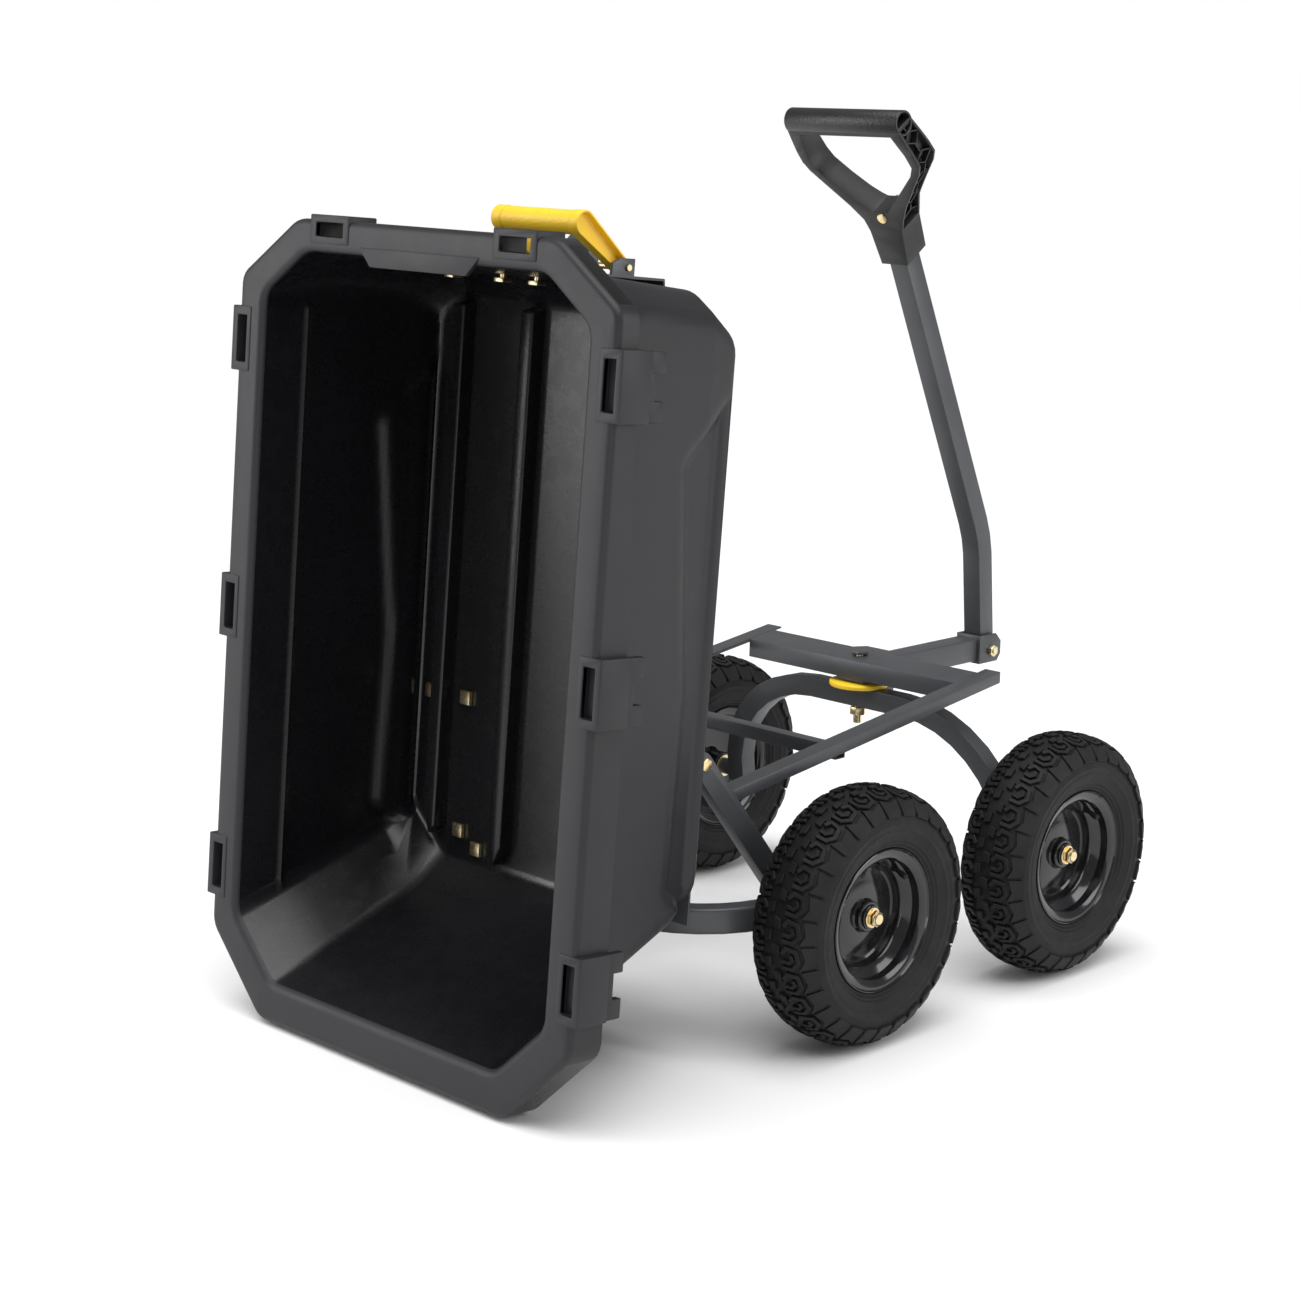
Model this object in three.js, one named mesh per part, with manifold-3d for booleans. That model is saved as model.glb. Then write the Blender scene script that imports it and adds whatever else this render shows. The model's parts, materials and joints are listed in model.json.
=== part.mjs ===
// Four-wheeled garden dump cart: an inclined steel frame on fixed rear wheels, a steered
// front axle with a folding pull handle, and a moulded tub that tips over its rear hinge.
// Millimetres, +X towards the pull handle, +Y to the cart's left, +Z up. The tub is modelled
// tipped, standing on end behind the rear wheels.
import * as THREE from "three";
import { mergeVertices } from "three/addons/utils/BufferGeometryUtils.js";
import Module from "manifold-3d";

const wasm = await Module();
wasm.setup();

// ---------------------------------------------------------------- driving dimensions
const GAP = 0.3;                  // clearance between touching pieces

// wheels, measured from the rear hub line on the ground
const TYRE_RADIUS = 165;
const TYRE_HALF_WIDTH = 49.5;
const HALF_TRACK = 323;
const FRONT_HUB_X = 411.5;
const WHEEL_SIDES = 32;
const RIM_SIDES = 16;
const FLANGE_RADIUS = 90.4;
const STUB_RADIUS = 8;
const BORE_RADIUS = 8.6;

// frame
const RAIL_OUTER = 213.7;         // half the width over the rails
const RAIL_FLANGE = 26;
const RAIL_HEIGHT = 16;
const RAIL_WALL = 3;
const RAIL_START = -150;
const RAIL_END = 418;
const RAIL_RISE = 0.135;          // slope of the rails
const RAIL_TOP = 339.1;           // height of the rail tops above the rear hubs
const CROSS_MEMBER = { rear: 348, front: 400, height: 26, wall: 3 };
const STRUT = { inner: 214.1, depth: 17.5, width: 30, wall: 3, foot: [-18, 158] };
const CROSS_TUBES = [["mid_cross_tube", 77, 96], ["rear_cross_tube", -136, -114]];
const CROSS_TUBE = { height: 18, wall: 2 };
const AXLE_BAR = { half: 260, thick: 28, height: 34, bend: 160, arm: -62 };

// steering
const KINGPIN_X = 374;
const KINGPIN_RADIUS = 6;
const KINGPIN_HOLE = 6.6;
const STEERING_RING = { radius: 42, bore: 15, height: 7 };
const ARCH = { half: 268, bar: 30, depth: 28, bend: 185, top: 346, foot: 149 };
const CLEVIS = { rear: 625, front: 676, half: 22, wall: 4, low: 344, high: 386 };
const TONGUE = { half: 17, low: 348, high: 382, start: 417, wall: 3 };
const HANDLE_PIVOT = [652, 362];
const HANDLE_TUBE = 15;           // half the tube's width

// fasteners
const PIVOT_RADIUS = 5;           // hinge bolts and the handle's pivot bolt
const PIVOT_HOLE = 5.4;
const PIVOT_HEAD = 9;             // across the corners, halved
const BOLT_RADIUS = 4;            // square-headed tub bolts
const BOLT_HOLE = 4.5;
const BOLT_HEAD = 9;              // half the square head's width
const LARGE_NUT = 12;             // kingpin's head and nut, halved across the corners

// tub, in its own frame: s forward, v left, n down from the rim plane
const TUB_LEAN = 4.052;           // degrees that the tipped rim leans from upright
const TUB_ORIGIN = [-457.24, 853.02];
const TUB_WALL = 5;
const TUB_DEPTH = 272;
const RIM = { front: 152, rear: -850, half: 332, skirt: 35, plate: 5 };
const SLOT_ROWS = [0, -335, -671];
const SLOT_SIDE = 323;
const FRONT_SLOT = { s: 140, v: 162 };
const SLOT = { half: 29, wide: 9 };          // half length and half width of a side slot
const RIBS = { rows: [-205, -77, 77, 205], half: 14, rear: -655, front: 45, top: 14 };
const HINGE = [-194, 372];
const HINGE_PLATE = 3;            // thickness
const HINGE_PAD = { rear: -655, front: -424, inner: 112, outer: 246 };
const HINGE_EAR = { inner: 205, outer: 210, radius: 13, foot: 34 };
const RELEASE_PIVOT = { s: 121, n: 262, radius: 4 };
const RELEASE_BAR = { s: 170, n: 192, radius: 14, half: 73 };

// ---------------------------------------------------------------- materials
const finish = (color, roughness, metalness) =>
  new THREE.MeshStandardMaterial({ color, roughness, metalness });
const FRAME_PAINT = finish(0x47494c, 0.42, 0.3);
const ZINC = finish(0xb9a468, 0.32, 1.0);
const TUB_PLASTIC = finish(0x1d1e20, 0.5, 0.0);
const TYRE_RUBBER = finish(0x161616, 0.75, 0.0);
const RIM_PAINT = finish(0x0c0c0d, 0.18, 0.2);
const YELLOW = finish(0xf2b51c, 0.45, 0.0);
const GRIP_PLASTIC = finish(0x17181a, 0.5, 0.0);

// ---------------------------------------------------------------- helpers
const radians = THREE.MathUtils.degToRad;
const cart = new THREE.Group();
const tub = new THREE.Group();
cart.add(tub);

function place(name, geometry, material, parent = cart) {
  const mesh = new THREE.Mesh(geometry, material);
  mesh.name = name;
  parent.add(mesh);
  return mesh;
}

const toShape = (points) => new THREE.Shape(points.map(([a, b]) => new THREE.Vector2(a, b)));

// outline in X and Z, as thick as y0 to y1
function plateXZ(points, y0, y1, holes = []) {
  const shape = toShape(points);
  holes.forEach((hole) => shape.holes.push(toShape(hole)));
  const options = { depth: y1 - y0, bevelEnabled: false };
  return new THREE.ExtrudeGeometry(shape, options).rotateX(Math.PI / 2).translate(0, y1, 0);
}

// outline in Y and Z, as thick as x0 to x1
function plateYZ(points, x0, x1) {
  const options = { depth: x1 - x0, bevelEnabled: false };
  const cycle = new THREE.Matrix4().set(0, 0, 1, x0, 1, 0, 0, 0, 0, 1, 0, 0, 0, 0, 0, 1);
  return new THREE.ExtrudeGeometry(toShape(points), options).applyMatrix4(cycle);
}

// outline in X and Y, as high as z0 to z1
function plateXY(points, z0, z1) {
  const options = { depth: z1 - z0, bevelEnabled: false };
  return new THREE.ExtrudeGeometry(toShape(points), options).translate(0, 0, z0);
}

function box(x0, x1, y0, y1, z0, z1) {
  const geometry = new THREE.BoxGeometry(x1 - x0, y1 - y0, z1 - z0);
  return geometry.translate((x0 + x1) / 2, (y0 + y1) / 2, (z0 + z1) / 2);
}

// round bar along Y
const barY = (radius, x, z, y0, y1, sides = 16) =>
  new THREE.CylinderGeometry(radius, radius, y1 - y0, sides).translate(x, (y0 + y1) / 2, z);

// round bar along Z
const barZ = (radius, x, y, z0, z1, sides = 16) =>
  new THREE.CylinderGeometry(radius, radius, z1 - z0, sides)
    .rotateX(Math.PI / 2).translate(x, y, (z0 + z1) / 2);

function arc(cx, cy, radius, from, to, steps) {
  return Array.from({ length: steps + 1 }, (_, i) => {
    const angle = radians(from + (to - from) * i / steps);
    return [cx + radius * Math.cos(angle), cy + radius * Math.sin(angle)];
  });
}

function toSolid(geometry) {
  const bare = new THREE.BufferGeometry();
  bare.setAttribute("position", geometry.getAttribute("position").clone());
  if (geometry.index) bare.setIndex(geometry.index.clone());
  const merged = mergeVertices(bare, 1e-4);
  return new wasm.Manifold(new wasm.Mesh({
    numProp: 3,
    vertProperties: new Float32Array(merged.getAttribute("position").array),
    triVerts: new Uint32Array(merged.index.array),
  }));
}

function toGeometry(solid) {
  const { vertProperties, triVerts } = solid.getMesh();
  const geometry = new THREE.BufferGeometry();
  geometry.setAttribute("position", new THREE.BufferAttribute(vertProperties, 3));
  geometry.setIndex(new THREE.BufferAttribute(triVerts, 1));
  return geometry;
}

const join = (...parts) => toGeometry(parts.map(toSolid).reduce((a, b) => a.add(b)));
const cut = (body, ...tools) =>
  toGeometry(tools.map(toSolid).reduce((a, b) => a.subtract(b), toSolid(body)));

// closed skin through matching rings of points, each ring a list of [x, y, z]
function loft(rings) {
  const count = rings[0].length;
  const positions = rings.flat(2);
  const index = [];
  for (let r = 0; r + 1 < rings.length; r++) {
    for (let i = 0; i < count; i++) {
      const a = r * count + i;
      const b = r * count + (i + 1) % count;
      index.push(a, a + count, b, b, a + count, b + count);
    }
  }
  const last = (rings.length - 1) * count;
  for (let i = 1; i + 1 < count; i++) {
    index.push(0, i, i + 1);
    index.push(last, last + i + 1, last + i);
  }
  const geometry = new THREE.BufferGeometry();
  geometry.setAttribute("position", new THREE.Float32BufferAttribute(positions, 3));
  geometry.setIndex(index);
  return geometry;
}

// band of constant width along a path in a plane
function band(path, half) {
  const left = [];
  const right = [];
  path.forEach(([x, z], i) => {
    const [ax, az] = path[Math.max(i - 1, 0)];
    const [bx, bz] = path[Math.min(i + 1, path.length - 1)];
    const before = Math.atan2(z - az, x - ax);
    const after = Math.atan2(bz - z, bx - x);
    const first = i === 0 ? after : before;
    const second = i === path.length - 1 ? before : after;
    const mid = (first + second) / 2;
    const reach = half / Math.cos((second - first) / 2);
    left.push([x - reach * Math.sin(mid), z + reach * Math.cos(mid)]);
    right.push([x + reach * Math.sin(mid), z - reach * Math.cos(mid)]);
  });
  return [...right, ...left.reverse()];
}

const SIDES = [["right", -1], ["left", 1]];
const between = (side, a, b) => (side > 0 ? [a, b] : [-b, -a]);

// ---------------------------------------------------------------- wheels
const RIM_PROFILE = [
  [BORE_RADIUS, -34], [20, -34], [20, -4], [63.5, -4], [63.5, -14], [76.5, -23], [76.5, -35],
  [FLANGE_RADIUS, -38.5], [FLANGE_RADIUS, -36], [79.5, -32.5], [79.5, -20], [66.5, -12],
  [66.5, 12], [79.5, 20], [79.5, 32.5], [FLANGE_RADIUS, 36], [FLANGE_RADIUS, 38.5],
  [76.5, 35], [76.5, 23], [63.5, 14], [63.5, 0], [20, 0], [20, 20], [BORE_RADIUS, 20],
];
// vertices reach past the rolling radius so that the flats of the tread touch the ground
const CROWN = TYRE_RADIUS / Math.cos(Math.PI / WHEEL_SIDES);
const TYRE_HALF_PROFILE = [
  [80, 24], [80, 31.8], [91.5, 35.3], [106, 46], [124, TYRE_HALF_WIDTH], [146, 45],
  [160, 31], [CROWN, 15],
];
const TYRE_INSIDE = [[157, 20], [140, 39], [106, 38]];
const mirrored = (points) => points.map(([r, y]) => [r, -y]).reverse();
const TYRE_PROFILE = [
  ...TYRE_HALF_PROFILE, ...mirrored(TYRE_HALF_PROFILE),
  ...mirrored(TYRE_INSIDE), ...TYRE_INSIDE,
].reverse();

function revolve(profile, sides, phase) {
  const loop = [...profile, profile[0]].map(([r, y]) => new THREE.Vector2(r, y));
  return mergeVertices(stripped(new THREE.LatheGeometry(loop, sides, phase)));
}

function stripped(geometry) {
  geometry.deleteAttribute("normal");
  geometry.deleteAttribute("uv");
  return geometry;
}

function wheel(name, x, side) {
  const y = side * HALF_TRACK;
  const outward = RIM_PROFILE.map(([r, t]) => [r, side * t]);
  const profile = side > 0 ? outward : outward.reverse();
  const tyre = revolve(TYRE_PROFILE, WHEEL_SIDES, Math.PI / WHEEL_SIDES);
  place(`tyre_${name}`, tyre.translate(x, y, TYRE_RADIUS), TYRE_RUBBER);
  const rim = revolve(profile, RIM_SIDES, 0);
  place(`rim_${name}`, rim.translate(x, y, TYRE_RADIUS), RIM_PAINT);
  const [n0, n1] = between(side, HALF_TRACK + 20.5, HALF_TRACK + 28);
  const nut = cut(barY(11, x, TYRE_RADIUS, n0, n1, 6),
    barY(STUB_RADIUS + GAP, x, TYRE_RADIUS, n0 - 1, n1 + 1));
  place(`axle_nut_${name}`, nut, ZINC);
}

// stub axle with its collar, from a bar's outer face out through the hub
function stub(x, side, from) {
  const [c0, c1] = between(side, from, HALF_TRACK - 35);
  const [s0, s1] = between(side, from, HALF_TRACK + 32);
  return [barY(12, x, TYRE_RADIUS, c0, c1), barY(STUB_RADIUS, x, TYRE_RADIUS, s0, s1)];
}

for (const [sideName, side] of SIDES) {
  wheel(`rear_${sideName}`, 0, side);
  wheel(`front_${sideName}`, FRONT_HUB_X, side);
}

// ---------------------------------------------------------------- frame
const railTop = (x) => RAIL_TOP + RAIL_RISE * x;

function rails() {
  for (const [sideName, side] of SIDES) {
    const top = [[RAIL_START, railTop(RAIL_START)], [RAIL_END, railTop(RAIL_END)]];
    const shifted = (drop) => top.map(([x, z]) => [x, z - drop]).reverse();
    const [f0, f1] = between(side, RAIL_OUTER - RAIL_FLANGE, RAIL_OUTER);
    const [w0, w1] = between(side, RAIL_OUTER - RAIL_WALL, RAIL_OUTER);
    const flange = plateXZ([...top, ...shifted(RAIL_WALL)], f0, f1);
    const web = plateXZ([...top, ...shifted(RAIL_HEIGHT)], w0, w1);
    place(`rail_${sideName}`, join(flange, web), FRAME_PAINT);
  }
}

function crossMembers() {
  const { rear, front, height, wall } = CROSS_MEMBER;
  const half = RAIL_OUTER - RAIL_FLANGE - GAP;
  const outline = [[rear, railTop(rear)], [rear, railTop(rear) - height],
    [rear + wall, railTop(rear) - height], [rear + wall, railTop(rear) - wall],
    [front - wall, railTop(front) - wall], [front - wall, railTop(front) - height],
    [front, railTop(front) - height], [front, railTop(front)]];
  const hole = barZ(KINGPIN_HOLE, KINGPIN_X, 0, 350, 400);
  place("front_cross_member", cut(plateXZ(outline, -half, half), hole), FRAME_PAINT);
  const inside = RAIL_OUTER - RAIL_WALL - GAP;
  const skin = CROSS_TUBE.wall;
  for (const [name, x0, x1] of CROSS_TUBES) {
    const high = railTop(x0) - RAIL_WALL - 1;
    const low = high - CROSS_TUBE.height;
    const outer = [[x0, low], [x1, low], [x1, high], [x0, high]];
    const inner = [[x0 + skin, low + skin], [x1 - skin, low + skin], [x1 - skin, high - skin],
      [x0 + skin, high - skin]];
    place(name, plateXZ(outer, -inside, inside, [inner]), FRAME_PAINT);
  }
  const plate = plateXY([[front + GAP, -34], [RAIL_END, -24], [RAIL_END, 24],
    [front + GAP, 34]], railTop(front) - 4, railTop(front));
  place("latch_strike", plate, FRAME_PAINT);
}

// channel struts that carry the tub's hinge above the rails' rear ends
function struts() {
  const { inner, depth, width, wall, foot } = STRUT;
  const [hx, hz] = HINGE;
  const along = Math.atan2(hz - foot[1], hx - foot[0]);
  const end = THREE.MathUtils.radToDeg(along);
  const half = width / 2;
  const outline = [
    ...arc(hx, hz, half, end - 90, end + 90, 8),
    [foot[0] - half * Math.sin(along), foot[1] + half * Math.cos(along)],
    [foot[0] + half * Math.sin(along), foot[1] - half * Math.cos(along)],
  ];
  const pocketEnd = [hx - 30 * Math.cos(along), hz - 30 * Math.sin(along)];
  const pocket = band([[foot[0] - 20 * Math.cos(along), foot[1] - 20 * Math.sin(along)],
    pocketEnd], half - wall);
  for (const [sideName, side] of SIDES) {
    const [y0, y1] = between(side, inner, inner + depth);
    const [p0, p1] = between(side, inner - 1, inner + depth - wall);
    const hole = barY(PIVOT_HOLE, hx, hz, y0 - 1, y1 + 1);
    const strut = cut(plateXZ(outline, y0, y1), plateXZ(pocket, p0, p1), hole);
    place(`rear_strut_${sideName}`, strut, FRAME_PAINT);
    const [b0, b1] = between(side, inner - 14, inner + depth + 4);
    const [h0, h1] = between(side, inner + depth + GAP, inner + depth + 6.5);
    const shank = barY(PIVOT_RADIUS, hx, hz, b0, b1, 12);
    const bolt = join(shank, barY(PIVOT_HEAD, hx, hz, h0, h1, 6));
    place(`hinge_bolt_${sideName}`, bolt, ZINC);
  }
}

// U-shaped rear bar lying at hub height, with the rear stub axles welded on
function rearAxle() {
  const { half, thick, height, bend, arm } = AXLE_BAR;
  const start = 16;
  const outer = [[start, -half], ...arc(arm, bend - half, bend, -90, -180, 8),
    ...arc(arm, half - bend, bend, 180, 90, 8), [start, half]];
  const inner = [[start, half - thick], ...arc(arm, half - bend, bend - thick, 90, 180, 8),
    ...arc(arm, bend - half, bend - thick, 180, 270, 8), [start, thick - half]];
  const bar = plateXY([...outer, ...inner].reverse(), TYRE_RADIUS - height / 2,
    TYRE_RADIUS + height / 2);
  const stubs = SIDES.flatMap(([, side]) => stub(0, side, half - 4));
  place("rear_axle_bar", join(bar, ...stubs), FRAME_PAINT);
}

rails();
crossMembers();
struts();
rearAxle();

// ---------------------------------------------------------------- front axle and handle
function frontArch() {
  const { half, bar, depth, bend, top, foot } = ARCH;
  const outer = [[-half, foot], ...arc(bend - half, top - bend, bend, 180, 90, 8),
    ...arc(half - bend, top - bend, bend, 90, 0, 8), [half, foot]];
  const inner = [[half - bar, foot], ...arc(half - bend, top - bend, bend - bar, 0, 90, 8),
    ...arc(bend - half, top - bend, bend - bar, 90, 180, 8), [bar - half, foot]];
  const arch = plateYZ([...outer, ...inner].reverse(), -depth / 2, depth / 2);
  // the arch leans so that its feet stand ahead of the kingpin
  const lean = Math.atan2(FRONT_HUB_X - KINGPIN_X, top - TYRE_RADIUS);
  const shear = new THREE.Matrix4().set(1, 0, -Math.tan(lean), KINGPIN_X + top * Math.tan(lean),
    0, 1, 0, 0, 0, 0, 1, 0, 0, 0, 0, 1);
  arch.applyMatrix4(shear);
  const stubs = SIDES.flatMap(([, side]) => stub(FRONT_HUB_X, side, half - 4));
  const hole = barZ(KINGPIN_HOLE, KINGPIN_X, 0, 300, 360);
  place("front_arch", cut(join(arch, ...stubs), hole), FRAME_PAINT);
}

function steering() {
  const { top } = ARCH;
  const under = railTop(CROSS_MEMBER.rear) - CROSS_MEMBER.height;
  const { radius, bore, height } = STEERING_RING;
  const ring = cut(barZ(radius, KINGPIN_X, 0, top + GAP, top + height, 24),
    barZ(bore, KINGPIN_X, 0, top, top + height + 1));
  place("steering_ring", ring, YELLOW);
  const seat = top + height + GAP;
  const block = cut(box(KINGPIN_X - 20, KINGPIN_X + 20, -26, 26, seat, under - 2 * GAP),
    barZ(KINGPIN_HOLE, KINGPIN_X, 0, 340, 380));
  place("steering_block", block, FRAME_PAINT);
  const head = railTop(KINGPIN_X + LARGE_NUT) + GAP;
  place("kingpin", join(barZ(KINGPIN_RADIUS, KINGPIN_X, 0, 292, head + 2),
    barZ(LARGE_NUT, KINGPIN_X, 0, head, head + 4.5, 6)), ZINC);
  const nut = cut(barZ(LARGE_NUT, KINGPIN_X, 0, 304, 315, 6),
    barZ(KINGPIN_RADIUS + GAP, KINGPIN_X, 0, 300, 320));
  place("kingpin_nut", nut, ZINC);
}

function tongue() {
  const { half, low, high, start, wall: skin } = TONGUE;
  const end = CLEVIS.rear - GAP;
  const outline = [[start, high], [start, ARCH.top - GAP], [389, ARCH.top - GAP],
    [395.4, 317], [424, 317], [440, low], [end, low], [end, high]];
  const hollow = [[470, low + skin], [end + 1, low + skin], [end + 1, high - skin],
    [470, high - skin]];
  place("tongue", cut(plateXZ(outline, -half, half), plateXZ(hollow, skin - half, half - skin)),
    FRAME_PAINT);
  const { rear, front, half: wide, wall, low: bottom, high: lip } = CLEVIS;
  const [px, pz] = HANDLE_PIVOT;
  const side = [[rear, bottom], [front - 8, bottom], [front, bottom + 10], [front, lip - 12],
    [front - 12, lip], [rear, lip]];
  const clevis = cut(plateXZ(side, -wide, wide),
    box(rear + wall, front + 1, wall - wide, wide - wall, bottom - 1, lip + 1),
    barY(PIVOT_HOLE, px, pz, -wide - 1, wide + 1));
  place("clevis", clevis, FRAME_PAINT);
  const bolt = join(barY(PIVOT_RADIUS, px, pz, -wide - 9, wide + 5, 12),
    barY(PIVOT_HEAD, px, pz, wide + GAP, wide + 6, 6));
  place("handle_pivot_bolt", bolt, ZINC);
  const nut = cut(barY(PIVOT_HEAD, px, pz, -wide - 7, -wide - GAP, 6),
    barY(PIVOT_RADIUS + GAP, px, pz, -wide - 10, -wide + 2, 12));
  place("handle_pivot_nut", nut, ZINC);
}

const HANDLE_PATH = [[653, 347], [636.5, 508], [631, 533], [622, 557], [452, 914], [409, 1004]];
const GRIP = { foot: [421, 965], head: [303, 1129], half: 100, thick: 36 };

function handle() {
  const outer = plateXZ(band(HANDLE_PATH, HANDLE_TUBE), -HANDLE_TUBE, HANDLE_TUBE);
  const wall = 2;
  const bore = HANDLE_TUBE - wall;
  const longer = HANDLE_PATH.map(([x, z], i) => [x, z - (i === 0 ? 4 : 0)]);
  longer.push([405, 1012]);
  const [px, pz] = HANDLE_PIVOT;
  place("handle_tube", cut(outer, plateXZ(band(longer, bore), -bore, bore),
    barY(PIVOT_HOLE, px, pz, -20, 20)), FRAME_PAINT);

  // D-shaped grip: a socket over the tube, two arms and a cross bar
  const { foot, head, half, thick } = GRIP;
  const lean = Math.atan2(head[0] - foot[0], head[1] - foot[1]);
  const length = Math.hypot(head[0] - foot[0], head[1] - foot[1]);
  const outline = [[-25, -14], [25, -14], [27, 40], [half - 4, length - 48], [half, length - 30],
    [half, length + 4], [half - 10, length + 16], [10 - half, length + 16], [-half, length + 4],
    [-half, length - 30], [4 - half, length - 48], [-27, 40]];
  const gap = [[-8, 76], [8, 76], [half - 24, length - 34], [half - 24, length - 16],
    [24 - half, length - 16], [24 - half, length - 34]];
  const frame = cut(plateYZ(outline, -thick / 2, thick / 2),
    plateYZ(gap, -thick, thick));
  const swing = new THREE.Matrix4().makeRotationY(lean).setPosition(foot[0], 0, foot[1]);
  frame.applyMatrix4(swing);
  const socket = plateXZ(band([[409.8, 1002.4], [437, 945]], 23), -23, 23);
  const clear = HANDLE_TUBE + GAP;
  const tubeSpace = plateXZ(band([[452, 914], [408, 1006]], clear), -clear, clear);
  const boltHole = plateXZ(band([[340, 946], [440, 992]], 4.5), -4.5, 4.5);
  place("handle_grip", cut(join(frame, socket), tubeSpace, boltHole), GRIP_PLASTIC);
}

frontArch();
steering();
tongue();
handle();

// ---------------------------------------------------------------- tub
// the tub's own frame stands on end: +X along the rim towards the front, +Z out of the mouth
tub.rotation.y = radians(TUB_LEAN - 90);
tub.position.set(TUB_ORIGIN[0], 0, TUB_ORIGIN[1]);

// eight-sided section: ends, half width, and how far each corner is cut back
function section(rear, front, half, frontCut, rearCut, depth) {
  const [fs, fv] = frontCut;
  const [rs, rv] = rearCut;
  return [[front, -half + fv], [front, half - fv], [front - fs, half], [rear + rs, half],
    [rear, half - rv], [rear, -half + rv], [rear + rs, -half], [front - fs, -half],
  ].map(([s, v]) => [s, v, -depth]);
}

const insetRing = (ring, d) => {
  const points = ring.map(([s, v]) => [s, v]);
  const n = points.length;
  return points.map(([s, v], i) => {
    const [as, av] = points[(i + n - 1) % n];
    const [bs, bv] = points[(i + 1) % n];
    const before = Math.atan2(v - av, s - as);
    const after = Math.atan2(bv - v, bs - s);
    let turn = after - before;
    if (turn < -Math.PI) turn += 2 * Math.PI;
    if (turn > Math.PI) turn -= 2 * Math.PI;
    const mid = before + turn / 2;
    const reach = d / Math.cos(turn / 2);
    return [s - reach * Math.sin(mid), v + reach * Math.cos(mid), ring[i][2]];
  });
};

const atDepth = (ring, depth) => ring.map(([s, v]) => [s, v, -depth]);
const RIM_OUTLINE = section(RIM.rear, RIM.front, RIM.half, [72, 104], [100, 104], 0);
const TUB_RINGS = [
  section(-806, 119, 291, [58, 80], [76, 80], 0),
  section(-722, 105, 274, [56, 74], [70, 74], 180),
  section(-690, 75, 266, [50, 68], [62, 70], 245),
  section(-662, 46, 258, [46, 62], [56, 66], TUB_DEPTH),
];

function tubShell() {
  const inner = TUB_RINGS.map((ring) => insetRing(ring, TUB_WALL));
  const mouth = atDepth(inner[0], -2);
  const floor = atDepth(inner[3], TUB_DEPTH - TUB_WALL);
  const skirtInside = insetRing(RIM_OUTLINE, TUB_WALL);
  let shell = toSolid(loft([RIM_OUTLINE, atDepth(RIM_OUTLINE, RIM.skirt)]))
    .subtract(toSolid(loft([atDepth(skirtInside, RIM.plate), atDepth(skirtInside, 60)])))
    .add(toSolid(loft(TUB_RINGS)));
  const slots = [];
  for (const side of [-1, 1]) {
    for (const s of SLOT_ROWS) {
      const [b0, b1] = between(side, 306, 342);
      shell = shell.add(toSolid(box(s - 40, s + 40, b0, b1, -45, 0)));
      const [c0, c1] = between(side, SLOT_SIDE - SLOT.wide, SLOT_SIDE + SLOT.wide);
      slots.push(box(s - SLOT.half, s + SLOT.half, c0, c1, -60, 5));
    }
    const { s, v } = FRONT_SLOT;
    const [b0, b1] = between(side, v - 36, v + 36);
    shell = shell.add(toSolid(box(s - 16, s + 18, b0, b1, -40, 0)));
    const [c0, c1] = between(side, v - 25, v + 25);
    slots.push(box(s - 8, s + 9, c0, c1, -60, 5));
  }
  shell = shell.subtract(toSolid(loft([mouth, ...inner.slice(1, 3), floor])));
  // the front rim widens inwards between its two slots
  shell = shell.add(toSolid(plateXY([[102, -82], [122, -104], [122, 104], [102, 82]], -6, 0)));
  for (const v of RIBS.rows) {
    const rib = box(RIBS.rear, RIBS.front, v - RIBS.half, v + RIBS.half, 1 - TUB_DEPTH,
      RIBS.top - TUB_DEPTH);
    shell = shell.add(toSolid(rib));
  }
  slots.forEach((slot) => { shell = shell.subtract(toSolid(slot)); });
  boltPlaces().forEach(([s, v]) => {
    shell = shell.subtract(toSolid(barZ(BOLT_HOLE, s, v, -TUB_DEPTH - 2, 20 - TUB_DEPTH, 12)));
  });
  frontBoltPlaces().forEach(([v, n]) => {
    shell = shell.subtract(toSolid(boltX(BOLT_HOLE, v, n, 70, 140)));
  });
  place("tub_shell", toGeometry(shell), TUB_PLASTIC, tub);
}

const boltX = (radius, v, n, s0, s1, sides = 12) =>
  new THREE.CylinderGeometry(radius, radius, s1 - s0, sides)
    .rotateZ(Math.PI / 2).translate((s0 + s1) / 2, v, -n);

function boltPlaces() {
  const half = [[-448, 231], [-446, 162], [-622, 162], [-640, 126]];
  return [...half, ...half.map(([s, v]) => [s, -v])];
}

const frontBoltPlaces = () => [[120, 162], [30, 162], [-30, 162], [-120, 162]];

function floorBolts() {
  const order = ["outer", "inner", "rear", "end"];
  boltPlaces().forEach(([s, v], i) => {
    const seat = -TUB_DEPTH + TUB_WALL + GAP;
    const under = -TUB_DEPTH - HINGE_PLATE - 2 * GAP;
    const head = box(s - BOLT_HEAD, s + BOLT_HEAD, v - BOLT_HEAD, v + BOLT_HEAD, seat, seat + 6);
    const bolt = join(head, barZ(BOLT_RADIUS, s, v, under - 8, seat + 1, 12),
      barZ(2 * BOLT_RADIUS, s, v, under - 6, under, 6));
    place(`floor_bolt_${order[i % 4]}_${i < 4 ? "left" : "right"}`, bolt, ZINC, tub);
  });
}

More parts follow.
